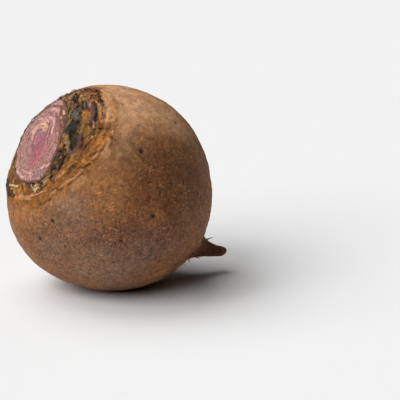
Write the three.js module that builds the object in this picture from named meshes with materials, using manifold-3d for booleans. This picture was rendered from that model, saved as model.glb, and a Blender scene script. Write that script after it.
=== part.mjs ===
import * as THREE from "three";
import { mergeVertices } from "three/addons/utils/BufferGeometryUtils.js";
import Module from "manifold-3d";

// A whole beetroot with its leaves cut off, lying on its side. Millimetres, +Z up.
// It is shaped standing up, with the middle of the round body at the origin and the crown along +Z,
// and is then leaned over so that the crown end points towards -X and the tail towards +X.

// Driving dimensions of the round body
const BODY_RADIUS = 43.6;
const LEAN_DEG = 52; // from standing on the tail to lying with the crown 38 degrees above the table
const REST_DEPTH = 0.8; // how much of the underside is pressed flat where it lies

// The face left where the knife went through the crown, aslant and a little off centre
const CUT_RADIUS = 18.6;
const CUT_HEIGHT = 38;
const CUT_CENTRE = new THREE.Vector2(-0.75, -0.3);
const CUT_SLOPE = new THREE.Vector2(0.15, 0.05); // rise of the face per millimetre along x and y
const RING_HEART = new THREE.Vector2(2.9, 4.2); // where the growth rings are centred, from CUT_CENTRE
const RING_COUNT = 6;
const RING_RELIEF = 0.5;
const RIM_DROP = 1.1; // from the edge of the cut face down to the groove round it
const RIM_GAP = 0.8;

// The band of old leaf stalks round the cut, widest on the side that the knife spared
const CROWN_EDGE_DEG = 27; // angle from the crown axis at which the skin starts
const WIDE_SIDE = THREE.MathUtils.degToRad(-52);
const BAND_NARROW_DEG = 6;
const BAND_EXTRA_DEG = 12;
const BAND_HEIGHT = 1.2; // on the wide side, fading to nothing opposite
// Rows of stalks in the band: [stalks, degrees outside the groove, half of the arc they fill, width, height]
const STALK_ROWS = [
  [18, 2.2, Math.PI, 8.0, 0.5],
  [7, 7.0, 1.25, 8.0, 1.0],
  [5, 12.0, 0.85, 7.5, 0.9],
];
const STALK_THICKNESS = 2.1;
const STALK_SUNK = 2.4; // depth of a stump's root under the skin

// Corky folds that run round the shoulder, just outside the leaf stalks
const FOLD_BEYOND_DEG = 4; // from the edge of the band to the middle of the folds
const FOLD_SPREAD_DEG = 6;
const FOLD_SPACING_DEG = 3.6;
const FOLD_RELIEF = 0.5;

// Broad swellings and hollows of the body: [degrees from the crown, degrees round it, radius, height]
const SWELLINGS = [
  [77, 172, 17, 2.1],
  [112, -9, 20, -0.5],
];

// Two shallow furrows run down opposite sides to the tail, where the side roots stood
const FURROW_SIDE = THREE.MathUtils.degToRad(-102);
const FURROW_DEPTH = 0.9;
const FURROW_WIDTH = 0.16;
const TAIL_BEND = 7; // how far the tip of the tail curves up from the axis

// Side rootlets by the tail and the furrows: [degrees from the crown, turn from FURROW_SIDE, length]
const ROOTLET_PLACES = [
  [152, 0, 5],
  [161, Math.PI, 6],
  [166, 0, 7],
  [171, Math.PI, 7],
  [174, 1.2, 6],
  [175.5, -1.6, 5],
];
const ROOTLET_RADIUS = 0.55;
const ROOTLET_SUNK = 1.2;

// Mesh steps
const AROUND = 64;
const CUT_ROWS = 2 * RING_COUNT;

// Distance of the skin from the middle of the body, as [degrees from the crown, share of BODY_RADIUS, rows]:
// the crown and its shoulder, the round belly, and the taper into the tail.
const SKIN_STATIONS = [
  [CROWN_EDGE_DEG, 1.0, 3],
  [33, 1.01, 4],
  [40, 1.012, 8],
  [52, 1.008, 3],
  [70, 1.0, 3],
  [90, 1.0, 3],
  [108, 1.0, 3],
  [124, 1.006, 2],
  [138, 1.018, 2],
  [149, 1.034, 2],
  [158, 1.054, 2],
  [165, 1.084, 2],
  [170, 1.12, 2],
  [173.6, 1.175, 2],
  [176, 1.26, 1],
  [177.3, 1.36, 1],
  [178, 1.46, 1],
  [180, 1.5, 0],
];

const { sin, cos, exp, abs, PI } = Math;
const rad = THREE.MathUtils.degToRad;
const rise = THREE.MathUtils.smoothstep;

// A repeatable number from 0 to 1 for item i and purpose j.
function scatter(i, j) {
  const wave = sin(12.9898 * (i + 1) + 78.233 * (j + 1)) * 43758.5453;
  return wave - Math.floor(wave);
}

// How far round the crown phi is from the wide side: 1 there, 0 opposite.
function wideness(phi) {
  return 0.5 + 0.5 * cos(phi - WIDE_SIDE);
}

function bandWidthDeg(phi) {
  return BAND_NARROW_DEG + BAND_EXTRA_DEG * wideness(phi) ** 4;
}

// The outline of the cut is nearly round, with three slow corners and a wobble.
function cutEdge(phi) {
  return (
    CUT_RADIUS + 1.19 * cos(3 * phi + 0.38) + 0.46 * cos(4 * phi + 1.49) + 0.25 * cos(5 * phi - 1.78)
  );
}

function cutPlane(x, y) {
  return CUT_HEIGHT + CUT_SLOPE.x * x + CUT_SLOPE.y * y;
}

// A point of the cut face at share f of the way from the heart of the rings to the edge.
// Each growth ring stands up as a low ridge, where the softer flesh between has dried back.
function cutPoint(f, phi) {
  const reach = f * cutEdge(phi);
  const x = CUT_CENTRE.x + (1 - f) * RING_HEART.x + reach * cos(phi);
  const y = CUT_CENTRE.y + (1 - f) * RING_HEART.y + reach * sin(phi);
  const ridge = 0.5 * RING_RELIEF * cos(2 * PI * RING_COUNT * f) * rise(f, 0, 0.15);
  return new THREE.Vector3(x, y, cutPlane(x, y) + ridge);
}

// The bottom of the groove just outside the cut face.
function groovePoint(phi) {
  const reach = cutEdge(phi) + RIM_GAP;
  const x = CUT_CENTRE.x + reach * cos(phi);
  const y = CUT_CENTRE.y + reach * sin(phi);
  return new THREE.Vector3(x, y, cutPlane(x, y) - RIM_DROP);
}

// The direction from the middle of the body at theta degrees from the crown and phi radians round it.
function outward(theta, phi) {
  const angle = rad(theta);
  return new THREE.Vector3(sin(angle) * cos(phi), sin(angle) * sin(phi), cos(angle));
}

// Slow unevenness of the whole body, for a direction from its middle.
function lumps(d) {
  let height =
    0.35 * sin(2.3 * d.x + 1.7 * d.y + 0.4) +
    0.3 * sin(3.1 * d.y - 2.2 * d.z + 1.9) +
    0.22 * sin(4.3 * d.z + 3.6 * d.x - 0.8);
  for (const [theta, turn, radius, swell] of SWELLINGS) {
    const gap = BODY_RADIUS * d.distanceTo(outward(theta, rad(turn)));
    height += swell * exp(-((gap / radius) ** 2));
  }
  return height;
}

// Height of the skin's own relief at theta degrees from the crown.
function skinRelief(theta, phi, direction) {
  const past = theta - CROWN_EDGE_DEG;
  const width = bandWidthDeg(phi);
  const raised = BAND_HEIGHT * wideness(phi) ** 2;
  const band = raised * rise(past, 0, 2) * (1 - rise(past, width, width + 4));
  const beyond = past - width;
  const foldEnvelope = exp(-(((beyond - FOLD_BEYOND_DEG) / FOLD_SPREAD_DEG) ** 2));
  const foldPhase = (2 * PI * beyond) / FOLD_SPACING_DEG + 0.9 * sin(3 * phi + 1) + 0.6 * sin(5 * phi);
  const folds = FOLD_RELIEF * foldEnvelope * sin(foldPhase);
  const furrow = (side) => exp(-((sin((phi - side) / 2) / FURROW_WIDTH) ** 2));
  const furrows = furrow(FURROW_SIDE) + furrow(FURROW_SIDE + PI);
  const furrowed = FURROW_DEPTH * rise(theta, 100, 140) * (1 - rise(theta, 162, 171)) * furrows;
  return band + folds - furrowed + lumps(direction) * (1 - rise(theta, 160, 172));
}

const meridian = new THREE.SplineCurve(
  SKIN_STATIONS.map(([theta, share]) => new THREE.Vector2(theta, share * BODY_RADIUS)),
);

function plainSkin(t, phi) {
  const station = meridian.getPoint(t);
  const direction = outward(station.x, phi);
  return { theta: station.x, direction, point: direction.clone().multiplyScalar(station.y) };
}

// A point of the skin at share t of the way from the groove round the cut to the tip of the tail.
// The skin starts at the groove, wherever the slanting cut has put it, and eases on to the round body.
function skinPoint(t, phi) {
  const { theta, direction, point } = plainSkin(t, phi);
  const towardsGroove = groovePoint(phi).sub(plainSkin(0, phi).point);
  point.addScaledVector(towardsGroove, 1 - rise(theta, CROWN_EDGE_DEG, 55));
  point.addScaledVector(direction, skinRelief(theta, phi, direction));
  const down = Math.max(0, -point.z - 0.9 * BODY_RADIUS) / (0.6 * BODY_RADIUS);
  point.x += TAIL_BEND * down * down - 1.0 * rise(-point.z, 0, 0.9 * BODY_RADIUS);
  return point;
}

// The rows of the mesh from the heart of the cut to the tip of the tail, each a function of phi.
function bodyRows() {
  const rows = [];
  for (let i = 1; i <= CUT_ROWS; i++) rows.push((phi) => cutPoint(i / CUT_ROWS, phi));
  const spans = SKIN_STATIONS.length - 1;
  for (let span = 0; span < spans; span++) {
    const count = SKIN_STATIONS[span][2];
    for (let i = 0; i < count; i++) rows.push((phi) => skinPoint((span + i / count) / spans, phi));
  }
  return rows;
}

// The closed skin: a fan at the heart of the cut, strips between the rows, and a fan at the tail's tip.
function bodyGeometry() {
  const rows = bodyRows();
  const points = [cutPoint(0, 0)];
  for (const row of rows) {
    for (let k = 0; k < AROUND; k++) points.push(row((2 * PI * k) / AROUND));
  }
  points.push(skinPoint(1, 0));
  const at = (row, k) => 1 + row * AROUND + (k % AROUND);
  const tip = points.length - 1;
  const faces = [];
  for (let k = 0; k < AROUND; k++) {
    faces.push(0, at(0, k), at(0, k + 1));
    for (let row = 0; row < rows.length - 1; row++) {
      faces.push(at(row, k), at(row + 1, k), at(row + 1, k + 1));
      faces.push(at(row, k), at(row + 1, k + 1), at(row, k + 1));
    }
    faces.push(at(rows.length - 1, k), tip, at(rows.length - 1, k + 1));
  }
  return new THREE.BufferGeometry().setFromPoints(points).setIndex(faces);
}

// The stump of one leaf stalk: a low crescent, hollow towards the crown, with an uneven shrunken top.
// Its own frame has +X away from the crown's middle and +Z out of the skin.
function stalkGeometry(item, width, thickness, height) {
  const bow = 0.34 * width;
  const crescent = new THREE.Shape();
  crescent.moveTo(-0.5 * thickness, -0.5 * width);
  crescent.quadraticCurveTo(bow, -0.46 * width, bow, 0);
  crescent.quadraticCurveTo(bow, 0.46 * width, -0.5 * thickness, 0.5 * width);
  crescent.quadraticCurveTo(bow - thickness, 0.3 * width, bow - thickness, 0);
  crescent.quadraticCurveTo(bow - thickness, -0.3 * width, -0.5 * thickness, -0.5 * width);
  const geometry = new THREE.ExtrudeGeometry(crescent, {
    depth: STALK_SUNK + height,
    steps: 1,
    curveSegments: 3,
    bevelEnabled: false,
  });
  geometry.translate(-0.3 * bow, 0, -STALK_SUNK);
  const position = geometry.attributes.position;
  for (let i = 0; i < position.count; i++) {
    const up = rise(position.getZ(i), 0, height);
    const across = position.getY(i) / width;
    const shrunk = height * (0.25 * sin(7 * across + 6 * scatter(item, 5)) - 1.4 * across * across);
    position.setX(i, position.getX(i) * (1 - 0.1 * up));
    position.setY(i, position.getY(i) * (1 - 0.14 * up));
    position.setZ(i, position.getZ(i) + shrunk * up);
  }
  return geometry;
}

// Puts a part made at the origin on to the skin at t and phi, with its +Z out of the skin.
function placeOnSkin(geometry, t, phi, turn) {
  const step = 0.002;
  const point = skinPoint(t, phi);
  const outward = skinPoint(t + step, phi).sub(point).normalize();
  const along = skinPoint(t, phi + step).sub(point).normalize();
  const normal = new THREE.Vector3().crossVectors(outward, along).normalize();
  const side = new THREE.Vector3().crossVectors(normal, outward);
  const basis = new THREE.Matrix4().makeBasis(outward, side, normal).setPosition(point);
  return geometry.applyMatrix4(new THREE.Matrix4().makeRotationZ(turn)).applyMatrix4(basis);
}

// The share t of the meridian at which the skin is theta degrees from the crown.
function shareAt(theta) {
  let low = 0;
  let high = 1;
  for (let i = 0; i < 40; i++) {
    const middle = (low + high) / 2;
    if (meridian.getPoint(middle).x < theta) low = middle;
    else high = middle;
  }
  return low;
}

function stalkStumps() {
  const stumps = [];
  let item = 0;
  for (const [count, outsideDeg, halfArc, width, tall] of STALK_ROWS) {
    const whole = halfArc === PI;
    for (let k = 0; k < count; k++) {
      const share = whole ? (2 * k) / count - 1 : (2 * (k + 0.5)) / count - 1;
      const phi = WIDE_SIDE + halfArc * share + 0.12 * (scatter(item, 0) - 0.5);
      const theta = CROWN_EDGE_DEG + outsideDeg + 1.2 * (scatter(item, 1) - 0.5);
      const stalkWidth = width * (0.85 + 0.3 * scatter(item, 2));
      const height = tall * (0.6 + 0.8 * scatter(item, 3)) * (0.5 + 0.5 * wideness(phi));
      const stump = stalkGeometry(item, stalkWidth, STALK_THICKNESS, height);
      stumps.push(placeOnSkin(stump, shareAt(theta), phi, 0.5 * (scatter(item, 4) - 0.5)));
      item++;
    }
  }
  return stumps;
}

// A side rootlet: a thin cone that bends as it leaves the root.
function rootletGeometry(item, length) {
  const geometry = new THREE.ConeGeometry(ROOTLET_RADIUS, length + ROOTLET_SUNK, 6, 3);
  geometry.rotateX(PI / 2).translate(0, 0, (length - ROOTLET_SUNK) / 2);
  const position = geometry.attributes.position;
  for (let i = 0; i < position.count; i++) {
    const along = Math.max(0, position.getZ(i)) / length;
    position.setX(i, position.getX(i) + 0.35 * length * along * along);
    position.setY(i, position.getY(i) + (scatter(item, 7) - 0.5) * length * along * along);
  }
  return geometry;
}

function rootlets() {
  return ROOTLET_PLACES.map(([theta, side, length], item) =>
    placeOnSkin(rootletGeometry(item, length), shareAt(theta), FURROW_SIDE + side, 0),
  );
}

const wasm = await Module();
wasm.setup();

function toSolid(geometry) {
  const bare = geometry.clone();
  bare.deleteAttribute("normal");
  bare.deleteAttribute("uv");
  const merged = mergeVertices(bare, 1e-4);
  const vertProperties = merged.attributes.position.array;
  const triVerts = new Uint32Array(merged.index.array);
  return new wasm.Manifold(new wasm.Mesh({ numProp: 3, vertProperties, triVerts }));
}

function toGeometry(solid) {
  const { vertProperties, triVerts } = solid.getMesh();
  const geometry = new THREE.BufferGeometry();
  geometry.setAttribute("position", new THREE.BufferAttribute(vertProperties, 3));
  geometry.setIndex(new THREE.BufferAttribute(triVerts, 1));
  geometry.computeVertexNormals();
  return geometry;
}

// The space under the table top, in the frame of the standing root, for a body whose lowest point is known.
function tableGeometry(lean, lowest) {
  const size = 3 * BODY_RADIUS;
  const table = new THREE.BoxGeometry(size, size, size);
  table.translate(0, 0, lowest + REST_DEPTH - size / 2);
  return table.applyMatrix4(lean.clone().invert());
}

function beetrootMesh() {
  let solid = toSolid(bodyGeometry());
  for (const grown of [...stalkStumps(), ...rootlets()]) solid = solid.add(toSolid(grown));
  const lean = new THREE.Matrix4().makeRotationY(-rad(LEAN_DEG));
  const leaned = toGeometry(solid).applyMatrix4(lean);
  leaned.computeBoundingBox();
  solid = solid.subtract(toSolid(tableGeometry(lean, leaned.boundingBox.min.z)));

  const skin = new THREE.MeshStandardMaterial({ color: 0x8a6244, roughness: 0.75, metalness: 0 });
  const mesh = new THREE.Mesh(toGeometry(solid), skin);
  mesh.name = "beetroot";
  mesh.rotation.y = -rad(LEAN_DEG);
  const box = new THREE.Box3().setFromObject(mesh, true);
  const middle = box.getCenter(new THREE.Vector3());
  mesh.position.set(-middle.x, -middle.y, -box.min.z);
  return mesh;
}

const beetroot = new THREE.Group();
beetroot.name = "whole_beetroot";
beetroot.add(beetrootMesh());

export default beetroot;
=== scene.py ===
"""A whole raw beetroot with its leaves cut off, lying on its side in soft studio light."""

import bpy
import numpy as np
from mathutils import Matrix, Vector


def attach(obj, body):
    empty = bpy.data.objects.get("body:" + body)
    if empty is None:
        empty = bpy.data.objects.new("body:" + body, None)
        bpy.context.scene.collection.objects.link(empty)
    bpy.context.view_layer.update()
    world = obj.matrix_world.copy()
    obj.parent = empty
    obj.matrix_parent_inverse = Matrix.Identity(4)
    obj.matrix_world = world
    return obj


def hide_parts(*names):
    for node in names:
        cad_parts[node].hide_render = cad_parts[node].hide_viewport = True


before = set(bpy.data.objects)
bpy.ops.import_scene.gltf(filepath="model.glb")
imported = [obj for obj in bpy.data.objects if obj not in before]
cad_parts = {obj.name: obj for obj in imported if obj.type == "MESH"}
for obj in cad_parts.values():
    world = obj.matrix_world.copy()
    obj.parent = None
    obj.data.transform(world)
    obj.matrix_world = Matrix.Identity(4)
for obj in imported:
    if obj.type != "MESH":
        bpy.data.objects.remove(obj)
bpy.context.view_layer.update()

bl_info = {
    "name": "Beetroot",
    "version": (1, 0, 0),
    "blender": (4, 5, 0),
    "location": "3D View > Sidebar > Beetroot",
    "description": "Builds a whole beetroot: corky skin, ringed cut face, old leaf stalks and rootlets",
    "category": "Add Mesh",
}

MM = 0.001
TURN = 2 * np.pi

# The root is shaped standing up, in millimetres: the middle of the round body is the origin, and the crown is
# along +Z. It is then leaned over, and its middle is put at BODY_MIDDLE.
BODY_RADIUS = 43.6
LEAN = np.radians(52)
BODY_MIDDLE = np.array([-6.221, -0.316, 43.467])

CUT_RADIUS = 18.6
CUT_HEIGHT = 38.0
CUT_CENTRE = (-0.75, -0.3)
CUT_SLOPE = (0.15, 0.05)
RING_HEART = (2.9, 4.2)
RIM_DROP = 0.6
RIM_GAP = 0.3

CROWN_EDGE_DEG = 27.0
WIDE_SIDE = np.radians(-52)
BAND_NARROW_DEG = 6.0
BAND_EXTRA_DEG = 12.0
BAND_HEIGHT = 0.7

FOLD_BEYOND_DEG = 4.0
FOLD_SPREAD_DEG = 6.0
FOLD_SPACING_DEG = 3.6
FOLD_RELIEF = 0.15

# Broad swellings and hollows of the body: degrees from the crown and round it, radius in mm and height in mm.
SWELLINGS = (
    (77, 172, 17, 1.8),
    (112, -9, 20, -0.5),
    (34, 32, 8, -1.6),
    (40, 138, 8, 0.9),
    (62, 168, 8, 0.5),
)

FURROW_SIDE = np.radians(-102)
FURROW_DEPTH = 0.9
FURROW_WIDTH = 0.16
TAIL_BEND = 7.0

# Distance of the skin from the middle of the body: degrees from the crown, share of BODY_RADIUS.
SKIN_STATIONS = np.array(
    [
        (CROWN_EDGE_DEG, 1.0),
        (33, 1.01),
        (40, 1.012),
        (52, 1.008),
        (70, 1.0),
        (90, 1.0),
        (108, 1.0),
        (124, 1.006),
        (138, 1.018),
        (149, 1.034),
        (158, 1.054),
        (165, 1.084),
        (170, 1.12),
        (173.6, 1.175),
        (176, 1.26),
        (177.3, 1.36),
        (178, 1.46),
        (180, 1.5),
    ]
)

SKIN_COLUMNS = 440
SKIN_ROWS = 220

# The view, a square picture: turn round the root, height above the floor, distance in mm, aim in mm from the
# middle of the body, lens and sensor in mm, side in pixels, and how much of the root a pixel shows, in mm.
VIEW_AZIMUTH = np.radians(-23)
VIEW_ELEVATION = np.radians(15)
VIEW_DISTANCE = 700
AIM_RIGHT = 39.06
AIM_DOWN = 5.32
LENS = 146.8
SENSOR = 36
PICTURE_SIDE = 400
FOCUS = PICTURE_SIDE * LENS / SENSOR
PIXEL = VIEW_DISTANCE / FOCUS

# Marks on the skin: degrees from the crown, degrees round it, radius in mm, strength.
PITS = (
    (56, -133, 1.0, 0.8),
    (62, -152, 1.0, 0.8),
    (90, -111, 0.9, 0.7),
    (72, -62, 1.0, 0.8),
    (96, -89, 1.2, 0.8),
    (82, -106, 0.8, 0.5),
    (76, -111, 0.8, 0.4),
    (66, -59, 0.8, 0.5),
    (88, -30, 1.0, 0.5),
    (84, 60, 1.1, 0.8),
    (70, 130, 1.0, 0.7),
    (104, 170, 1.2, 0.8),
)
# Broad tone: above 0 where the skin is lighter, below 0 where it is darker. Part of it is the skin's own
# colour, pale and clean in places and darkened by soil in others; part is painted light and shade: the top
# is lightened where the lamps fall, and the right side and the underside are darkened as painted shade.
TONES_LIGHT_AND_SHADE = (
    (54, -10, 22, 1.2),
    (66, -36, 17, 0.75),
    (84, -30, 13, 0.3),
    (62, 40, 17, 0.7),
    (54, -164, 11, -0.6),
    (86, -68, 16, -0.7),
    (96, -34, 14, 0.4),
    (62, -68, 9, 0.25),
    (93, -92, 9, -0.4),
    (98, -92, 15, -1.15),
    (56, -48, 9, -0.22),
    (74, -42, 15, -0.25),
    (62, -71, 12, 0.7),
    (51, -111, 8, 0.7),
    (80, -95, 8, 0.8),
    (68, -104, 8, -0.35),
    (69, -150, 12, -0.2),
    (50, 165, 8, -0.2),
    (70, -38, 9, -0.2),
    (86, -46, 8, 0.3),
    (180, 0, 9, -1.0),
    (77, -118, 14, -0.3),
    (68, -142, 12, -0.3),
    (88, -114, 12, -0.25),
    (43, 178, 8, -0.4),
    (104, -101, 10, -0.3),
    (104, -60, 17, -0.5),
    (86, -108, 8, -0.4),
    (100, 30, 18, -0.5),
    (104, 140, 20, -0.6),
    (76, 110, 15, 0.5),
)
MAUVE_PATCHES = (
    (61, -116, 9, 0.9),
    (68, -148, 9, 0.7),
    (90.0, -132.0, 13, 0.8),
    (108.0, -108.0, 13, 0.7),
    (112.0, -140.0, 14, 0.6),
    (75.0, 60.0, 14, 0.8),
    (95.0, 150.0, 16, 0.8),
    (120.0, 95.0, 15, 0.7),
)
OCHRE_PATCHES = (
    (71, -100, 8, 0.9),
    (60.0, -88.0, 7, 0.8),
    (49, 176, 12, 0.6),
    (44.0, -160.0, 10, 0.6),
    (98, -88, 2.5, 0.9),
    (127, -121, 7, 0.8),
    (70.0, 110.0, 12, 0.6),
    (100.0, 30.0, 12, 0.5),
)
RUSSET_PATCHES = (
    (80.0, -70.0, 15, 0.9),
    (92.0, -88.0, 10, 0.8),
    (62.0, -74.0, 9, 0.8),
    (98.0, -62.0, 12, 0.7),
    (88.0, 10.0, 14, 0.6),
    (96.0, 120.0, 14, 0.6),
)
OLIVE_PATCHES = (
    (68, -63, 8, 0.7),
    (56, -125, 6, 0.8),
    (100.0, -60.0, 12, 0.6),
    (58.0, 80.0, 9, 0.7),
    (118.0, 170.0, 12, 0.7),
)

# Scars, stains and crests of the crown, read from that view, feature by feature. A mark is its colour,
# half its width in pixels, the share of its colour, its height in mm, and the stops of its line as (column, row)
# of the picture, from its top left corner. Later marks lie over earlier ones. Part of the marks is painted
# light and shade: dark marks sunk as creases, cracks and hollows are painted shade in them, light marks
# raised as crests are painted highlight, and the dark band below the navy oval is its painted shadow.
TANNED_AND_STAINED = (
    ("tanned", 4.6, 0.75, 0, (106, 90), (105.5, 98), (108, 108), (110, 119)),
    ("tanned", 2.4, 0.5, 0, (100, 106), (102, 114), (103, 122)),
    ("tanned", 2.2, 0.5, 0, (70, 96), (77, 92.5)),
    ("umber", 4.6, 0.75, 0, (11, 176), (14, 183), (20, 184)),
    ("umber", 4, 0.5, 0, (89, 135), (84, 143)),
    ("tanned", 3.6, 0.45, 0, (103, 156), (108, 152)),
    ("tanned", 4.6, 0.4, 0, (74, 187), (82, 180)),
    ("umber", 4, 0.45, 0, (90, 145), (84, 151), (76, 156)),
)
OLIVE_BASE = (
    ("olive", 6, 0.8, 0.2, (73, 105), (74.5, 112), (70.5, 119)),
    ("umber", 1, 0.7, -0.4, (71, 103), (74, 105)),
    ("umber", 0.9, 0.7, -0.4, (77, 107), (79, 103.5)),
    ("umber", 0.8, 0.7, -0.3, (71, 108.5), (75, 109.5)),
    ("straw", 0.9, 0.6, 0.3, (70.8, 111), (71.3, 117), (70.5, 121.5)),
)
GREY_AND_NAVY_BASES = (
    ("grey", 3, 0.85, 0.6, (76, 113), (78, 118)),
    ("soot_and_shadow", 1.6, 0.95, -0.7, (80.5, 112), (82.3, 117), (84, 121.5), (87, 124)),
    ("soot_and_shadow", 0.8, 0.9, -0.5, (86, 123.7), (91, 124)),
    ("stalk", 5.5, 0.7, 0.4, (83, 130), (88, 130)),
    ("gold", 1.2, 0.7, 0.3, (88, 126.5), (88.5, 130)),
    ("umber", 0.7, 0.8, -0.5, (80.5, 125), (80, 132)),
    ("umber", 0.7, 0.7, -0.4, (91, 126), (91.5, 134)),
    ("straw", 0.8, 0.6, 0.2, (85, 134), (83, 137)),
    ("navy", 5.6, 1, 0.9, (69.4, 130.5), (74, 125)),
    ("straw", 0.9, 0.7, 0.3, (65, 129), (68, 125.5), (70, 122.5)),
    # Painted shade: a dark line round the navy oval's lower right edge, where its dome shades the crust.
    ("soot_and_shadow", 1, 0.8, -0.5, (79.6, 121), (77.6, 129), (72, 134)),
)
CRESCENT_BASE = (
    ("stump", 4, 0.7, 0.6, (85, 114.5), (87, 120)),
    ("rust", 0.8, 0.8, -0.1, (83, 113.4), (86, 112.4), (90, 112.6)),
    ("umber", 0.6, 0.6, -0.2, (89, 116), (89, 121)),
    ("soot_and_shadow", 3.4, 0.85, -0.3, (84.3, 103.5), (85.5, 106)),
    ("grey", 2.3, 1, 0.7, (85.6, 104), (86, 105.5)),
    ("rose", 2.6, 0.85, 0.3, (89.5, 103), (92, 106)),
    ("maroon", 1, 0.85, -0.1, (89.5, 108.5), (91.5, 107)),
    ("maroon", 0.7, 0.7, -0.1, (89, 102), (91, 104)),
    ("plum", 2.4, 0.95, 0.8, (93, 103.5), (93.7, 110), (93.6, 116), (92.3, 121)),
    ("slate", 0.9, 0.7, 0.2, (95.6, 106), (95.6, 108.5)),
    ("slate", 1.2, 0.7, 0.1, (91.7, 119), (92.5, 122)),
    ("peat_and_shadow", 1.3, 0.9, -0.2, (96.4, 109), (96.6, 115), (95.4, 121)),
    ("rose", 0.9, 0.8, 0.2, (93.4, 122), (94.2, 128)),
    ("umber", 0.7, 0.9, -0.4, (95.6, 121), (95.2, 129)),
    ("umber", 0.6, 0.7, -0.4, (91.6, 123), (92.4, 129)),
    ("umber", 1, 0.9, -0.4, (94.2, 129.5), (94.2, 134.5)),
    ("rose", 1.2, 0.8, 0.3, (92.5, 136.5), (92.5, 137.5)),
)
PLUM_BASE = (
    # Painted shadow: this wide dark band and the soot lines at columns 71 to 75 are the shade below the navy
    # oval.
    ("peat_and_shadow", 4.2, 0.95, -0.6, (74.5, 135), (73.5, 141), (72.8, 148)),
    ("plum", 2.8, 0.85, 0.4, (79.6, 136), (79, 142), (77.5, 147), (74, 150.5)),
    ("maroon", 1.6, 0.85, 0.2, (80.6, 139), (80, 146)),
    ("mould_and_shade", 1, 0.8, -0.4, (82.6, 137), (82.4, 141)),
    # Painted shadow below the navy oval.
    ("soot_and_shadow", 1, 0.85, -0.4, (74.6, 137), (74, 143), (73, 149)),
    ("maroon", 1, 0.7, 0.1, (76, 148), (71.5, 153)),
    ("gold", 2.8, 0.85, 0.7, (67.5, 137.5), (65.5, 143), (61, 146.5)),
    ("straw", 1.1, 0.8, 0.3, (68, 137), (69.3, 143), (66.5, 146)),
    ("steel", 0.7, 0.7, 0.2, (66, 143.5), (68.5, 142.5)),
    ("soot_and_shadow", 0.8, 0.9, -0.5, (64.5, 144.5), (65.5, 146)),
    ("orange", 1.7, 0.9, 0.2, (60.8, 144.5), (60.2, 146.5)),
    # Painted shadow below the navy oval.
    ("soot_and_shadow", 1.3, 0.95, -0.6, (70.9, 134.5), (70.8, 141), (71.6, 149)),
    ("slate", 1.6, 0.9, 0.2, (69.3, 149.5), (70, 151)),
    ("maroon", 1.4, 0.7, 0.1, (68, 154), (68, 157)),
)
# Below the cut face: the mould marks are dark brown sunk in a hollow, darkened further as painted shade in it.
CRUST_BELOW_CUT = (
    ("soot_and_shadow", 2.4, 0.95, -0.6, (58, 151.5), (65, 150.5)),
    ("mould_and_shade", 4.4, 0.95, -0.3, (57, 155), (60, 160.5), (60, 165)),
    ("mould_and_shade", 3, 0.8, -0.2, (64, 153), (68, 158)),
    ("earth_and_shade", 0.8, 0.6, 0.2, (57, 153), (57.6, 158), (59.5, 163)),
    ("earth_and_shade", 0.8, 0.7, 0.3, (62.5, 158), (64, 164), (61, 168)),
    ("umber", 2, 0.7, -0.3, (54.8, 164), (53, 170)),
    ("umber", 1.2, 0.8, -0.3, (50.5, 177), (53, 172.5)),
    ("stump", 1, 0.7, 0.4, (60, 153.5), (63.5, 156)),
    ("mould_and_shade", 0.8, 0.9, -0.4, (62.5, 154), (64.8, 159.8)),
    # Painted shade in the groove between the cut face and the skin, along the face's lower edge.
    ("mould_and_shade", 1.1, 0.9, -0.4, (54.6, 152), (54, 159), (51.6, 166), (47, 172.5), (42.5, 177)),
    ("maroon", 0.8, 0.8, -0.1, (50, 170.5), (46, 174), (41, 177.5)),
    ("steel", 1, 0.6, 0.2, (65, 134), (63, 138), (61.2, 142)),
    ("stump", 1.1, 0.6, 0.4, (52.5, 170), (54, 172)),
)
# A crack sunk into the crust; its near black line is painted shade in it.
DARK_CRACK = (
    ("soot_and_shadow", 1.2, 0.95, -0.8, (91.5, 139.8), (88.3, 143), (86, 146), (84, 149.5)),
    ("umber", 1.2, 0.9, -0.6, (82.5, 145), (81, 148.5)),
    ("umber", 0.7, 0.8, -0.4, (84, 141.5), (81.5, 145)),
    ("straw", 0.7, 0.5, 0.3, (89, 137), (85, 141)),
    ("earth_and_shade", 4.6, 0.5, 0.2, (92, 143), (88, 150), (80, 156)),
    ("rust", 2, 0.35, 0.2, (95, 142), (92, 149)),
    ("umber", 1.4, 0.6, -0.4, (83, 151), (82, 157)),
)
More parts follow.
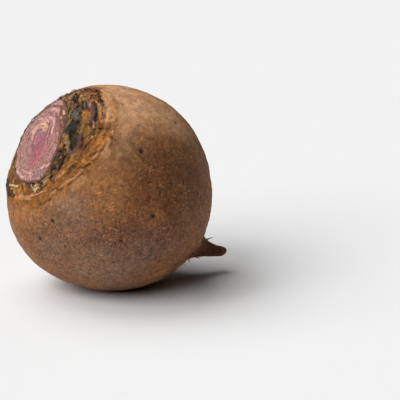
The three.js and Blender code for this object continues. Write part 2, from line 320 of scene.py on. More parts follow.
# Fine creases: the dark lines sunk as creases are painted shade in them, and the cream and blush lines on the
# crests are painted highlight.
CREASES_RIGHT = (
    ("slate", 1, 1, 0.1, (104.8, 113.8), (105, 115)),
    ("umber", 0.5, 0.9, -0.3, (103, 102.5), (104, 105.5), (106.2, 107.6), (108.2, 106)),
    ("straw", 0.6, 0.6, 0.2, (104.6, 103.2), (106, 105)),
    ("umber", 0.5, 0.8, -0.3, (109, 104.6), (111.4, 104.8)),
    ("soot_and_shadow", 0.8, 0.9, -0.4, (99, 128.2), (102.6, 128.4)),
    ("stalk", 2, 0.7, -0.2, (98.5, 131.5), (107.5, 131)),
    ("rust", 0.8, 0.7, -0.3, (99, 121), (102, 119), (106, 116.5)),
    ("umber", 0.5, 0.7, -0.3, (100, 125), (105, 122.8)),
    ("umber", 0.5, 0.7, -0.3, (110.5, 118), (113, 117.6)),
    ("umber", 0.5, 0.7, -0.3, (111, 122), (111.2, 127)),
    ("umber", 0.5, 0.6, -0.2, (113, 112), (114, 115)),
    ("umber", 0.5, 0.6, -0.2, (115, 124.5), (118, 125)),
    ("umber", 0.6, 0.7, -0.3, (103, 112), (102.6, 115), (104, 117)),
    ("cream", 0.6, 0.6, 0.2, (107, 112), (107.6, 116)),
    ("cream", 0.6, 0.5, 0.2, (106, 120.5), (110, 121)),
    ("cream", 0.8, 0.6, 0.2, (117, 112.5), (117.6, 116)),
    ("cream", 0.5, 0.5, 0.2, (108.5, 124.5), (109.5, 127.5)),
    ("cream", 0.5, 0.5, 0.2, (100.5, 103.5), (101, 108)),
    ("umber", 0.7, 0.8, -0.4, (112, 136.5), (114, 139), (117, 140.3)),
    ("umber", 0.6, 0.7, -0.3, (104, 129), (108, 128.2), (112, 130)),
    ("earth_and_shade", 1, 0.6, -0.2, (104, 136), (109, 133.5)),
    ("umber", 0.5, 0.7, -0.3, (97.6, 117), (98.6, 124)),
    ("orange", 0.8, 0.6, 0.2, (100.5, 110), (101, 117)),
    ("orange", 4, 0.5, 0.2, (99, 137.5), (107, 136.5)),
    ("rust", 1, 0.6, -0.2, (97, 140), (102, 139), (106, 140.5)),
    ("umber", 0.6, 0.6, -0.3, (99, 136.7), (105.5, 135.8)),
    ("blush", 1.5, 0.45, 0.3, (106.5, 149.5), (108.8, 143), (110, 139)),
    ("cream", 1.3, 0.7, 0.3, (113, 131), (113.6, 134.5)),
    ("umber", 0.8, 0.5, -0.3, (111, 146), (113, 141), (118, 140.5)),
    ("earth_and_shade", 2.4, 0.5, -0.2, (113.5, 145), (117.5, 144.5)),
)
# Creases below the cut: the dark lines sunk into the collar are painted shade, and the blush lines on the crests
# between them are painted highlight.
CREASES_BELOW = (
    ("umber", 1.1, 0.9, -0.8, (83.5, 168), (87, 165.3), (90.5, 163)),
    ("blush", 1.1, 0.3, 0.3, (93.5, 157.5), (98, 154.5), (103.5, 152.5)),
    ("orange", 1.6, 0.4, 0.2, (84, 156), (90, 153), (96, 149)),
    ("umber", 0.6, 0.6, -0.3, (86, 158.5), (92, 155.5), (97, 152)),
    ("umber", 0.5, 0.6, -0.3, (70, 164), (75, 160.5), (80, 159.5)),
    ("umber", 0.5, 0.6, -0.3, (66, 170), (72, 166), (77, 163)),
    ("straw", 0.6, 0.5, 0.2, (67, 168.5), (72, 164.3), (77, 161.5)),
    ("straw", 0.6, 0.5, 0.2, (52, 179.5), (57, 175.8), (59.5, 172.5)),
    ("umber", 0.5, 0.6, -0.3, (57, 180), (62, 176.5), (66, 175)),
    ("umber", 0.5, 0.6, -0.3, (61, 190), (64, 185.5)),
    ("umber", 0.8, 0.6, -0.4, (91, 160), (97, 159)),
    ("earth_and_shade", 2, 0.5, -0.2, (96.5, 163), (98, 166)),
    ("blush", 0.9, 0.5, 0.3, (100.5, 168)),
)
STUBS_ON_TOP = (
    ("earth_and_shade", 4.5, 0.5, 0.2, (78, 93.5), (88, 92), (94, 93)),
    ("umber", 1.4, 0.9, 0.4, (76, 91.3), (78.5, 90.8)),
    ("umber", 2.2, 0.9, 0.5, (82, 93), (85.5, 91.3)),
    ("umber", 1.4, 0.9, 0.5, (85, 89.5), (87.3, 88.6)),
    ("umber", 1.2, 0.9, 0.4, (90.5, 91), (91, 93)),
    ("umber", 0.9, 0.9, 0.2, (93, 93.3), (96, 91.5), (98.5, 90.3)),
    ("umber", 0.8, 0.8, 0.2, (93.5, 89.3), (97, 89.6)),
    ("umber", 0.5, 0.7, 0.1, (101, 92.5), (103, 91)),
    ("maroon", 1.5, 0.9, 0.3, (91.5, 96), (94, 97.3), (95, 99.8)),
    ("umber", 1.2, 0.95, 0.4, (98.6, 96), (99.2, 99.5), (102.3, 100.8)),
    ("umber", 0.9, 0.8, 0.2, (96.5, 103.5), (98.5, 105)),
    ("blush", 0.7, 0.6, 0.4, (95.5, 97), (97, 102), (100.5, 107)),
    ("blush", 0.9, 0.5, 0.3, (96, 94.5), (99, 95)),
)
# Papery strips: straw strips raised, with dark lines sunk between them as painted shade.
PAPERY_STRIPS = (
    ("straw", 1.8, 0.8, 0.3, (67, 99), (72, 95.5), (79, 92.5)),
    ("umber", 0.5, 0.8, -0.3, (69, 99.5), (74, 96.5), (80, 94.5)),
    ("straw", 0.6, 0.8, 0.3, (74, 99), (80, 96.5), (87, 94.8)),
    ("umber", 0.5, 0.8, -0.3, (82, 97.8), (88, 96.3)),
    ("straw", 0.5, 0.7, 0.3, (83, 101), (87, 99.5), (91, 100)),
    ("soot_and_shadow", 0.5, 0.8, -0.2, (79, 101.5), (84, 100.8)),
    ("umber", 0.7, 0.8, -0.3, (68, 101.5), (72, 100.8), (76, 101.5)),
    ("umber", 0.7, 0.8, -0.1, (77.5, 100), (79.5, 98)),
    ("rose", 0.8, 0.7, 0.4, (80, 96.5), (86, 99), (89, 98)),
)
FAR_RIM = (
    ("olive", 1.6, 0.8, 0.7, (52.3, 104.3), (54, 103)),
    ("umber", 1.3, 0.8, 0.6, (43.5, 111.3)),
    ("umber", 1.3, 0.8, 0.6, (36.6, 117.4)),
    ("umber", 1.2, 0.8, 0.5, (25, 132)),
)
LEFT_TUFT = (
    ("soot_and_shadow", 4.2, 0.95, 2, (9.2, 183.5), (9.6, 189.5)),
    ("soot_and_shadow", 1.6, 0.9, 1.8, (8.6, 180.5)),
    ("umber", 1.2, 0.7, 0.3, (12, 181), (13.5, 179)),
    ("soot_and_shadow", 1.9, 0.95, 1.2, (9, 193.8), (11.5, 194.8)),
    ("soot_and_shadow", 1.6, 0.95, -0.2, (12.5, 194.6), (14.8, 195.6)),
    ("umber", 2, 0.8, -0.5, (16.5, 180.5), (20, 182.5)),
    ("cream", 1.1, 0.9, 0.5, (11, 185), (14.5, 185.8), (19, 186)),
    ("soot_and_shadow", 1.4, 0.9, -0.4, (22.5, 185), (22.7, 189)),
    ("umber", 1, 0.8, -0.3, (23.3, 189.5), (23.6, 194)),
    ("soot_and_shadow", 1.3, 0.8, -0.4, (25, 182.5), (29, 184)),
    ("umber", 1.2, 0.8, -0.3, (30, 186.5), (30, 189)),
    ("ivory", 1.2, 0.6, 0.4, (32, 189.8), (37, 188.8), (39.5, 187)),
    ("soot_and_shadow", 0.7, 0.8, -0.3, (31.5, 187.5)),
    ("umber", 0.6, 0.7, -0.3, (35, 190.5), (36, 188)),
    ("rose", 1.1, 0.8, 0.3, (36, 186), (38.5, 184.8)),
    ("maroon", 0.9, 0.8, -0.2, (33, 186), (33.5, 187)),
)
# Folds of the collar on the left: the earth and umber troughs are painted shade, and the blush crests beside them
# are painted highlight.
CREASES_LEFT = (
    ("earth_and_shade", 2.6, 0.5, -0.4, (33, 197.5), (42, 193.8), (50, 188.5)),
    ("blush", 1.2, 0.45, 0.3, (31, 196), (38, 193.5), (46, 190)),
    ("blush", 2.6, 0.35, 0.2, (20, 197.5), (29, 198)),
    ("stalk", 2, 0.5, 0, (18, 192), (27, 193)),
    ("blush", 1.3, 0.35, 0.3, (50, 194), (55, 190.5)),
    ("orange", 2.4, 0.4, 0.2, (55, 186), (60, 182.5)),
    ("umber", 1.2, 0.6, -0.4, (48.5, 201), (51, 199)),
    ("blush", 1.3, 0.3, 0.3, (55, 179.5), (60, 175.5), (64, 172.5)),
    ("blush", 1.5, 0.3, 0.3, (60, 187), (66, 182), (73, 179.5)),
    ("blush", 1.5, 0.3, 0.3, (74, 178.5), (79, 174), (82, 171)),
    ("earth_and_shade", 1.6, 0.5, -0.3, (66, 176), (73, 173), (79, 168)),
    ("umber", 0.7, 0.6, -0.4, (51, 177), (54, 173.5)),
    ("steel", 1.4, 0.6, 0.3, (46, 181.5), (45, 183.5)),
    ("straw", 0.9, 0.6, 0.4, (41, 181.5), (47, 177.5), (50, 175.5)),
    ("earth_and_shade", 1.8, 0.5, -0.2, (30, 206), (31.5, 209)),
    ("umber", 0.8, 0.5, -0.3, (16, 202), (18.5, 206)),
    ("soot_and_shadow", 1, 0.8, -0.3, (14.5, 166.5), (15.3, 169)),
    ("umber", 1, 0.8, -0.4, (12.6, 168), (13.2, 172)),
)
CROWN_MARKS = (
    *TANNED_AND_STAINED,
    *OLIVE_BASE,
    *GREY_AND_NAVY_BASES,
    *CRESCENT_BASE,
    *PLUM_BASE,
    *CRUST_BELOW_CUT,
    *DARK_CRACK,
    *CREASES_RIGHT,
    *CREASES_BELOW,
    *STUBS_ON_TOP,
    *PAPERY_STRIPS,
    *FAR_RIM,
    *LEFT_TUFT,
    *CREASES_LEFT,
)
# Guessed marks of the hidden side, with half the width in mm and stops in degrees from the crown and round it.
BACK_MARKS = (
    ("plum", 1.2, 0.8, 0.6, (34, 20), (36, 34)),
    ("navy", 1.5, 0.8, 0.5, (30.5, 48), (30.5, 58)),
    ("plum", 1.2, 0.8, 0.4, (30.5, 88), (30.8, 100)),
    ("soot_and_shadow", 1.0, 0.8, 0.3, (30.5, 122), (30.2, 130)),
)
# The marks of the cut face, in the same form as the crown's.
FACE_ZONES = (
    ("pale_pink", 10, 0.5, 0, (58, 104), (50, 113)),
    ("pale_pink", 7, 0.4, 0, (42, 118), (34, 128)),
    ("pale_pink", 8, 0.3, 0, (22, 165), (27, 174)),
    ("rosy", 13, 0.6, 0, (38.5, 146), (35, 156)),
    ("rosy", 10, 0.5, 0, (42, 142), (38, 152), (31, 161)),
)
FACE_RINGS = (
    ("wine_line", 1.2, 0.8, -0.15, (46, 108.5), (50, 106.6), (55, 105.6), (60, 106.4), (63.5, 108)),
    ("plum_line", 0.7, 0.6, -0.1, (64.5, 109), (66.5, 114), (67, 118)),
    ("plum_line", 0.7, 0.5, -0.1, (43, 112.5), (47, 111.6), (52, 113.5), (55.5, 117), (56.5, 123)),
    ("plum_line", 0.8, 0.5, -0.1, (41, 117), (46, 116), (51, 116)),
    ("bright", 0.9, 0.9, 0.2, (49, 117.5), (52.5, 118), (54, 122), (53.5, 128), (51.5, 134)),
    ("bright", 0.7, 0.7, 0.15, (43, 119), (47, 119.5), (49, 122.5)),
    ("bright", 0.7, 0.6, 0.1, (38, 120.5), (42, 118.8)),
    ("plum_line", 0.6, 0.5, -0.1, (50, 120), (51, 126), (50.5, 130)),
    ("butter", 4, 0.7, 0.15, (43, 124), (46, 128)),
    ("butter", 3.4, 0.6, 0.1, (34, 131), (37.5, 127), (42, 124.5)),
    ("plum_line", 0.6, 0.6, -0.1, (37, 130), (40, 126.6), (44, 126)),
    ("butter", 1.4, 0.5, 0.1, (33, 134), (32, 139)),
    ("plum_line", 0.6, 0.5, -0.1, (36, 125), (40, 122.5), (44, 121.8)),
    ("mauve_core", 2.4, 0.8, 0, (39.8, 131), (38, 134.5), (42, 134.5)),
    ("orchid", 2.6, 0.8, 0, (35.5, 138), (38, 141)),
    ("wine", 2, 0.8, 0, (42.2, 138), (42, 142)),
    ("rosy", 3.6, 0.4, 0, (37, 145), (34.5, 150)),
    ("hot", 1.3, 0.6, 0.1, (45.5, 146), (46, 149.5)),
    ("hot", 1.3, 0.6, 0.1, (42, 153), (43.5, 151)),
    ("hot", 1.5, 0.6, 0.1, (36.7, 159.5), (37.5, 154.5)),
    ("hot", 2, 0.5, 0.1, (33, 163.5), (36, 162)),
    ("hot", 0.8, 0.5, 0.1, (39.5, 157), (41, 154)),
    ("dusty", 7, 0.6, 0, (26, 148), (28, 162)),
    ("plum_line", 0.7, 0.6, -0.15, (20.3, 146), (20, 152), (21, 158), (22.5, 163)),
    ("plum_line", 0.9, 0.7, -0.2, (19, 168.5), (23, 172), (28, 176)),
    ("bright", 1.2, 0.45, 0.2, (17, 171), (20, 175), (24, 178)),
    ("bright", 1.1, 0.4, 0.2, (22, 170), (27, 172.5), (31, 174)),
    ("bright", 1, 0.6, 0.2, (41, 168.6), (44, 166.5)),
    ("bright", 0.9, 0.5, 0.15, (46, 167), (49, 162)),
    ("ash", 2.8, 0.85, -0.1, (33.5, 176), (39, 175.5)),
    ("orchid", 1.3, 0.6, 0, (32, 180.5), (35, 179)),
    ("bright", 1, 0.5, 0.15, (58.5, 109), (60, 115), (59, 124)),
    ("butter", 1.3, 0.5, 0.1, (52, 110), (55, 109)),
    ("bright", 1.2, 0.6, 0.2, (57, 142), (53, 150)),
    ("plum_line", 0.8, 0.5, -0.1, (56, 131), (55, 140), (52, 147)),
    ("plum_line", 0.8, 0.5, -0.1, (47, 140), (47, 148), (44, 156)),
    ("plum_line", 0.8, 0.5, -0.15, (48, 160), (46, 164)),
    ("plum_line", 0.7, 0.5, -0.1, (27, 138), (28.5, 142)),
    ("bright", 0.8, 0.6, 0.1, (22.5, 138), (25, 133), (29, 127)),
)
SCAB_AND_RIM = (
    ("rusty", 1.2, 0.95, -0.2, (43, 176), (47, 173), (50, 169.8)),
    ("rusty", 6.6, 0.9, 0.2, (63.4, 109), (63.8, 117), (63.4, 125)),
    ("rusty", 2.4, 0.6, 0.1, (59.5, 116), (60.4, 124), (59.8, 131)),
    ("scab_dark", 3.4, 0.9, 0.3, (64.6, 117), (65.6, 122)),
    ("scab_dark", 1.4, 0.8, 0.2, (61.5, 112), (62.5, 107)),
    ("scab_dark", 1.2, 0.8, 0.1, (60.5, 121), (61.5, 127)),
    ("crumb", 1.5, 0.9, 0.3, (64.2, 112), (64.5, 114.5)),
    ("crumb", 1.1, 0.8, 0.3, (61.4, 117), (61.8, 119)),
    ("crumb", 1.1, 0.8, 0.3, (62.6, 123)),
    ("crumb", 1, 0.7, 0.3, (60.2, 110.5)),
    ("rusty", 1.4, 0.8, -0.15, (57.2, 126), (59, 119)),
    ("rusty", 4, 0.85, -0.15, (61, 131.5), (59.5, 138), (58.8, 142)),
    ("scab_dark", 2.2, 0.9, -0.2, (57.2, 146), (55.2, 152), (52.6, 158.5), (50, 165)),
    ("rusty", 1.6, 0.6, -0.15, (56, 143), (53, 149)),
    ("rim_brown", 1.3, 0.8, 0.1, (17.6, 152), (20, 143.5), (24, 133.5), (29.8, 125.3), (35.5, 118.3),
        (41, 112.5), (46.5, 108), (52, 103.5), (57.5, 100.8)),
    ("rim_brown", 1, 0.6, 0.1, (13.8, 167.5), (15.4, 174), (20, 179.5), (26, 182.3), (34, 183)),
)
CUT_MARKS = (
    *FACE_ZONES,
    *FACE_RINGS,
    *SCAB_AND_RIM,
)
# Colours of the marks, as display values. The umber, soot, peat, mould and earth colours also serve as painted
# shade in hollows, creases and the groove by the cut face, and as the painted shadow below the navy oval; the
# blush and cream colours also serve as painted highlight on crests.
MARK_COLOURS = {
    "olive": (84, 76, 52),
    "grey": (88, 83, 73),
    "straw": (142, 122, 80),
    "navy": (30, 30, 32),
    "soot_and_shadow": (50, 31, 14),
    "mould_and_shade": (68, 38, 12),
    "tanned": (196, 144, 98),
    "pale_pink": (176, 132, 126),
    "umber": (90, 52, 22),
    "stump": (160, 107, 46),
    "rust": (186, 104, 46),
    "rose": (184, 134, 112),
    "plum": (90, 52, 46),
    "maroon": (88, 46, 38),
    "peat_and_shadow": (48, 39, 26),
    "stalk": (134, 94, 44),
    "gold": (142, 92, 36),
    "orange": (168, 104, 46),
    "cream": (212, 170, 124),
    "ivory": (226, 206, 176),
    "steel": (148, 146, 134),
    "slate": (78, 78, 88),
    "earth_and_shade": (132, 80, 32),
    "blush": (222, 170, 126),
    "wine_line": (112, 60, 68),
    "plum_line": (122, 72, 76),
    "bright": (218, 168, 162),
    "butter": (208, 160, 128),
    "mauve_core": (132, 100, 116),
    "orchid": (160, 92, 112),
    "wine": (140, 72, 96),
    "rosy": (144, 80, 90),
    "hot": (200, 92, 108),
    "dusty": (146, 108, 98),
    "ash": (122, 92, 94),
    "rusty": (106, 60, 26),
    "scab_dark": (84, 44, 34),
    "crumb": (204, 168, 128),
    "rim_brown": (98, 68, 58),
}


# Shape


def rise(x, low, high):
    """0 below low, 1 above high, and the smooth cubic step between them."""
    t = np.clip((x - low) / (high - low), 0, 1)
    return t * t * (3 - 2 * t)


def hashed(cells, seed):
    """A repeatable number from 0 to 1 for each cell: its whole coordinates, mixed by odd multipliers."""
    x, y, z = (cells[..., k].astype(np.int64) for k in range(3))
    mixed = (x * 374761393 + y * 668265263 + z * 1440662683 + seed * 974634777) & 0xFFFFFFFF
    mixed = ((mixed ^ (mixed >> 13)) * 1274126177) & 0xFFFFFFFF
    return ((mixed ^ (mixed >> 16)) & 0xFFFF) / 65535.0


def value_noise(points, seed):
    """Noise from -1 to 1: a random value at each lattice corner, blended by the quintic step on each axis."""
    cells = np.floor(points)
    f = points - cells
    f = f * f * f * (f * (f * 6 - 15) + 10)
    total = 0.0
    for corner in np.ndindex(2, 2, 2):
        share = np.prod(np.where(np.array(corner), f, 1 - f), axis=-1)
        total = total + share * hashed(cells + np.array(corner), seed)
    return 2 * total - 1


def cloud(points, size, seed, octaves=3):
    """Sum of value noises, each half the size and half the height of the one before, scaled back to -1..1."""
    total = sum(0.5**k * value_noise(points * 2**k / size, seed + k) for k in range(octaves))
    return total / (2 - 0.5 ** (octaves - 1))


def ridges(points, size, seed, octaves=3):
    """Sharp crests where noise crosses zero: (1 - |noise|) squared, summed over octaves, from 0 to 1."""
    total = 0.0
    for k in range(octaves):
        total = total + 0.5**k * (1 - np.abs(value_noise(points * 2**k / size, seed + k))) ** 2
    return total / (2 - 0.5 ** (octaves - 1))


def outward(theta, phi):
    """Unit direction from the body's middle, at theta degrees from the crown and phi radians round it."""
    angle = np.radians(theta)
    return np.stack([np.sin(angle) * np.cos(phi), np.sin(angle) * np.sin(phi), np.cos(angle) + 0 * phi], -1)


def meridian(t):
    """Uniform Catmull-Rom spline through SKIN_STATIONS: degrees from the crown and distance in mm, at share t."""
    last = len(SKIN_STATIONS) - 1
    x = np.clip(t * last, 0, last - 1e-9)
    i = np.floor(x).astype(int)
    f = (x - i)[:, None]
    p0, p1, p2, p3 = (SKIN_STATIONS[np.clip(i + k, 0, last)] for k in (-1, 0, 1, 2))
    v0 = 0.5 * (p2 - p0)
    v1 = 0.5 * (p3 - p1)
    curve = (2 * p1 - 2 * p2 + v0 + v1) * f**3 + (3 * p2 - 3 * p1 - 2 * v0 - v1) * f**2 + v0 * f + p1
    return curve[:, 0], curve[:, 1] * BODY_RADIUS


def share_at(theta):
    """Share t of the meridian at which it stands theta degrees from the crown, read back from the spline."""
    t = np.linspace(0, 1, 4000)
    return np.interp(theta, meridian(t)[0], t)


def wideness(phi):
    """1 on the side where the band of leaf stalks is widest, 0 opposite: a raised cosine."""
    return 0.5 + 0.5 * np.cos(phi - WIDE_SIDE)


def band_width(phi):
    return BAND_NARROW_DEG + BAND_EXTRA_DEG * wideness(phi) ** 4


def cut_edge(phi):
    """Radius of the cut: nearly round, with slow cosine wobbles."""
    wobble = 1.19 * np.cos(3 * phi + 0.38) + 0.46 * np.cos(4 * phi + 1.49) + 0.25 * np.cos(5 * phi - 1.78)
    return CUT_RADIUS + wobble


def cut_plane(x, y):
    return CUT_HEIGHT + CUT_SLOPE[0] * x + CUT_SLOPE[1] * y


def round_the_cut(reach, phi, drop):
    """Points at a distance from the middle of the cut, a drop below its slanting plane."""
    x = CUT_CENTRE[0] + reach * np.cos(phi)
    y = CUT_CENTRE[1] + reach * np.sin(phi)
    return np.stack([x, y, cut_plane(x, y) - drop], -1)


def lumps(d):
    """Slow unevenness of the body for directions d: three crossed sine waves and a bell for each swelling."""
    return (
        0.35 * np.sin(2.3 * d[..., 0] + 1.7 * d[..., 1] + 0.4)
        + 0.3 * np.sin(3.1 * d[..., 1] - 2.2 * d[..., 2] + 1.9)
        + 0.22 * np.sin(4.3 * d[..., 2] + 3.6 * d[..., 0] - 0.8)
        + blobs(d, SWELLINGS)
    )


def furrows(theta, phi):
    """Depth share of the two furrows: a bell across each, from the belly to the root of the tail."""
    sides = (FURROW_SIDE, FURROW_SIDE + np.pi)
    across = sum(np.exp(-((np.sin((phi - side) / 2) / FURROW_WIDTH) ** 2)) for side in sides)
    return rise(theta, 100, 140) * (1 - rise(theta, 162, 171)) * across


def broad_skin(theta, distance, phi):
    """The skin without its fine relief: the spline turned about the axis, with the raised band, the folds,
    the furrows and the lumps added outwards. Near the crown it is shifted on to the nearly closed groove round
    the cut, by an amount that fades out at 55 degrees. The tail bends by the square of the way down."""
    out = outward(theta, phi)
    past = theta - CROWN_EDGE_DEG
    width = band_width(phi)
    band = BAND_HEIGHT * wideness(phi) ** 2 * rise(past, 0, 2) * (1 - rise(past - width, 0, 4))
    beyond = past - width
    envelope = np.exp(-(((beyond - FOLD_BEYOND_DEG) / FOLD_SPREAD_DEG) ** 2))
    phase = TURN * beyond / FOLD_SPACING_DEG + 0.9 * np.sin(3 * phi + 1) + 0.6 * np.sin(5 * phi)
    relief = band + FOLD_RELIEF * envelope * np.sin(phase) - FURROW_DEPTH * furrows(theta, phi)
    relief = relief + lumps(out) * (1 - rise(theta, 160, 172))
    points = out * (distance + relief)[..., None]
    first = outward(CROWN_EDGE_DEG + 0 * phi, phi) * BODY_RADIUS
    groove = round_the_cut(cut_edge(phi) + RIM_GAP, phi, RIM_DROP * (1.6 - wideness(phi)))
    points = points + (groove - first) * (1 - rise(theta, CROWN_EDGE_DEG, 55))[..., None]
    down = np.maximum(0, -points[..., 2] - 0.9 * BODY_RADIUS) / (0.6 * BODY_RADIUS)
    points[..., 0] += TAIL_BEND * down**2 - rise(-points[..., 2], 0, 0.9 * BODY_RADIUS)
    return points


def grid_normals(points):
    """Outward normals of a grid whose columns close on themselves: the cross product of its two slopes."""
    down = np.gradient(points, axis=0)
    wrapped = np.concatenate([points[:, -1:], points, points[:, :1]], axis=1)
    across = (wrapped[:, 2:] - wrapped[:, :-2]) / 2
    normal = np.cross(down, across)
    return normal / np.maximum(np.linalg.norm(normal, axis=-1, keepdims=True), 1e-9)


def blobs(out, marks):
    """Sum of bells on the skin: strength times exp(-(distance / radius) squared), for each mark."""
    total = 0.0
    for theta, phi_deg, radius, strength in marks:
        gap = BODY_RADIUS * np.linalg.norm(out - outward(theta, np.radians(phi_deg)), axis=-1)
        total = total + strength * np.exp(-((gap / radius) ** 2))
    return total


def line_distance(points, stops):
    """Distance in mm from points to a line through stops: the least over its straight spans."""
    nearest = np.inf
    for first, last in zip(stops, stops[1:] or stops):
        along = last - first
        share = np.clip((points - first) @ along / max(along @ along, 1e-9), 0, 1)
        nearest = np.minimum(nearest, np.linalg.norm(points - first - share[..., None] * along, axis=-1))
    return nearest


def view_axes(azimuth, elevation):
    """Unit vectors of a view in the row frame: to its right, up, and back towards the eye."""
    right = np.array([np.cos(azimuth), np.sin(azimuth), 0])
    level = np.array([np.sin(azimuth), -np.cos(azimuth), 0])
    back = level * np.cos(elevation) + np.array([0, 0, np.sin(elevation)])
    return right, np.cross(back, right), back


def standing(direction):
    """A direction of the row frame as it is before the root is leaned over."""
    x, y, z = direction
    return np.array([x * np.cos(LEAN) + z * np.sin(LEAN), y, z * np.cos(LEAN) - x * np.sin(LEAN)])


RIGHT, UP, BACK = (standing(axis) for axis in view_axes(VIEW_AZIMUTH, VIEW_ELEVATION))
EYE = RIGHT * AIM_RIGHT - UP * AIM_DOWN + BACK * VIEW_DISTANCE


def in_picture(points):
    """Column and row at which the eye sees points: their way to its right and below it, over their depth."""
    away = points - EYE
    scale = FOCUS / -(away @ BACK)
    return PICTURE_SIDE / 2 + away @ RIGHT * scale, PICTURE_SIDE / 2 - away @ UP * scale


def skin_reader():
    """Makes the function that turns a place of the picture into a point of the ball of BODY_RADIUS. It takes
    the nearest point of a fine grid of the skin that faces the eye, and keeps its angles."""
    theta, distance = meridian(np.linspace(0, 0.6, 600))
    phi = np.radians(np.arange(-180, 180, 0.5))
    points = broad_skin(theta[:, None], distance[:, None], phi[None, :])
    columns, rows = in_picture(points)
    columns[np.sum(grid_normals(points) * (EYE - points), -1) <= 0] = np.inf

    def ball_point(column, row):
        nearest = np.argmin((columns - column) ** 2 + (rows - row) ** 2)
        i, j = np.unravel_index(nearest, rows.shape)
        return BODY_RADIUS * outward(theta[i], phi[j])

    return ball_point


def cut_reader(column, row):
    """Where the ray through a place of the picture meets the plane of the cut, laid flat."""
    ray = RIGHT * (column - PICTURE_SIDE / 2) - UP * (row - PICTURE_SIDE / 2) - BACK * FOCUS
    tilt = np.array([-CUT_SLOPE[0], -CUT_SLOPE[1], 1.0])
    x, y, _ = EYE + ray * (CUT_HEIGHT - EYE @ tilt) / (ray @ tilt)
    return np.array([x, y, 0.0])


def read_marks(marks, unit, point_at):
    """Marks with their width in mm, as a multiple of unit, and with the stops of their lines as points."""
    return [
        (name, unit * width, share, tall, [point_at(*stop) for stop in line])
        for name, width, share, tall, *line in marks
    ]


def painted(points, marks):
    """Height, share of colour and colour of marks. Each is a smooth dome or hollow across its line, and is
    laid over the ones before it as paint is: what was there is kept by one minus its share."""
    height = np.zeros(points.shape[:-1])
    share = height.copy()
    colour = np.zeros(points.shape)
    for name, radius, strength, tall, line in marks:
        q = line_distance(points, line) / radius
        height += tall * (1 - rise(q, 0.2, 1.35))
        cover = strength * (1 - rise(q, 0.75, 1.25))
        paint = np.array(linear(*MARK_COLOURS[name])[:3])
        colour = colour * (1 - cover[..., None]) + cover[..., None] * paint
        share = share * (1 - cover) + cover
    return height, share, colour / np.maximum(share, 1e-6)[..., None]


def on_ball(theta, phi_deg):
    return outward(theta, np.radians(phi_deg)) * BODY_RADIUS


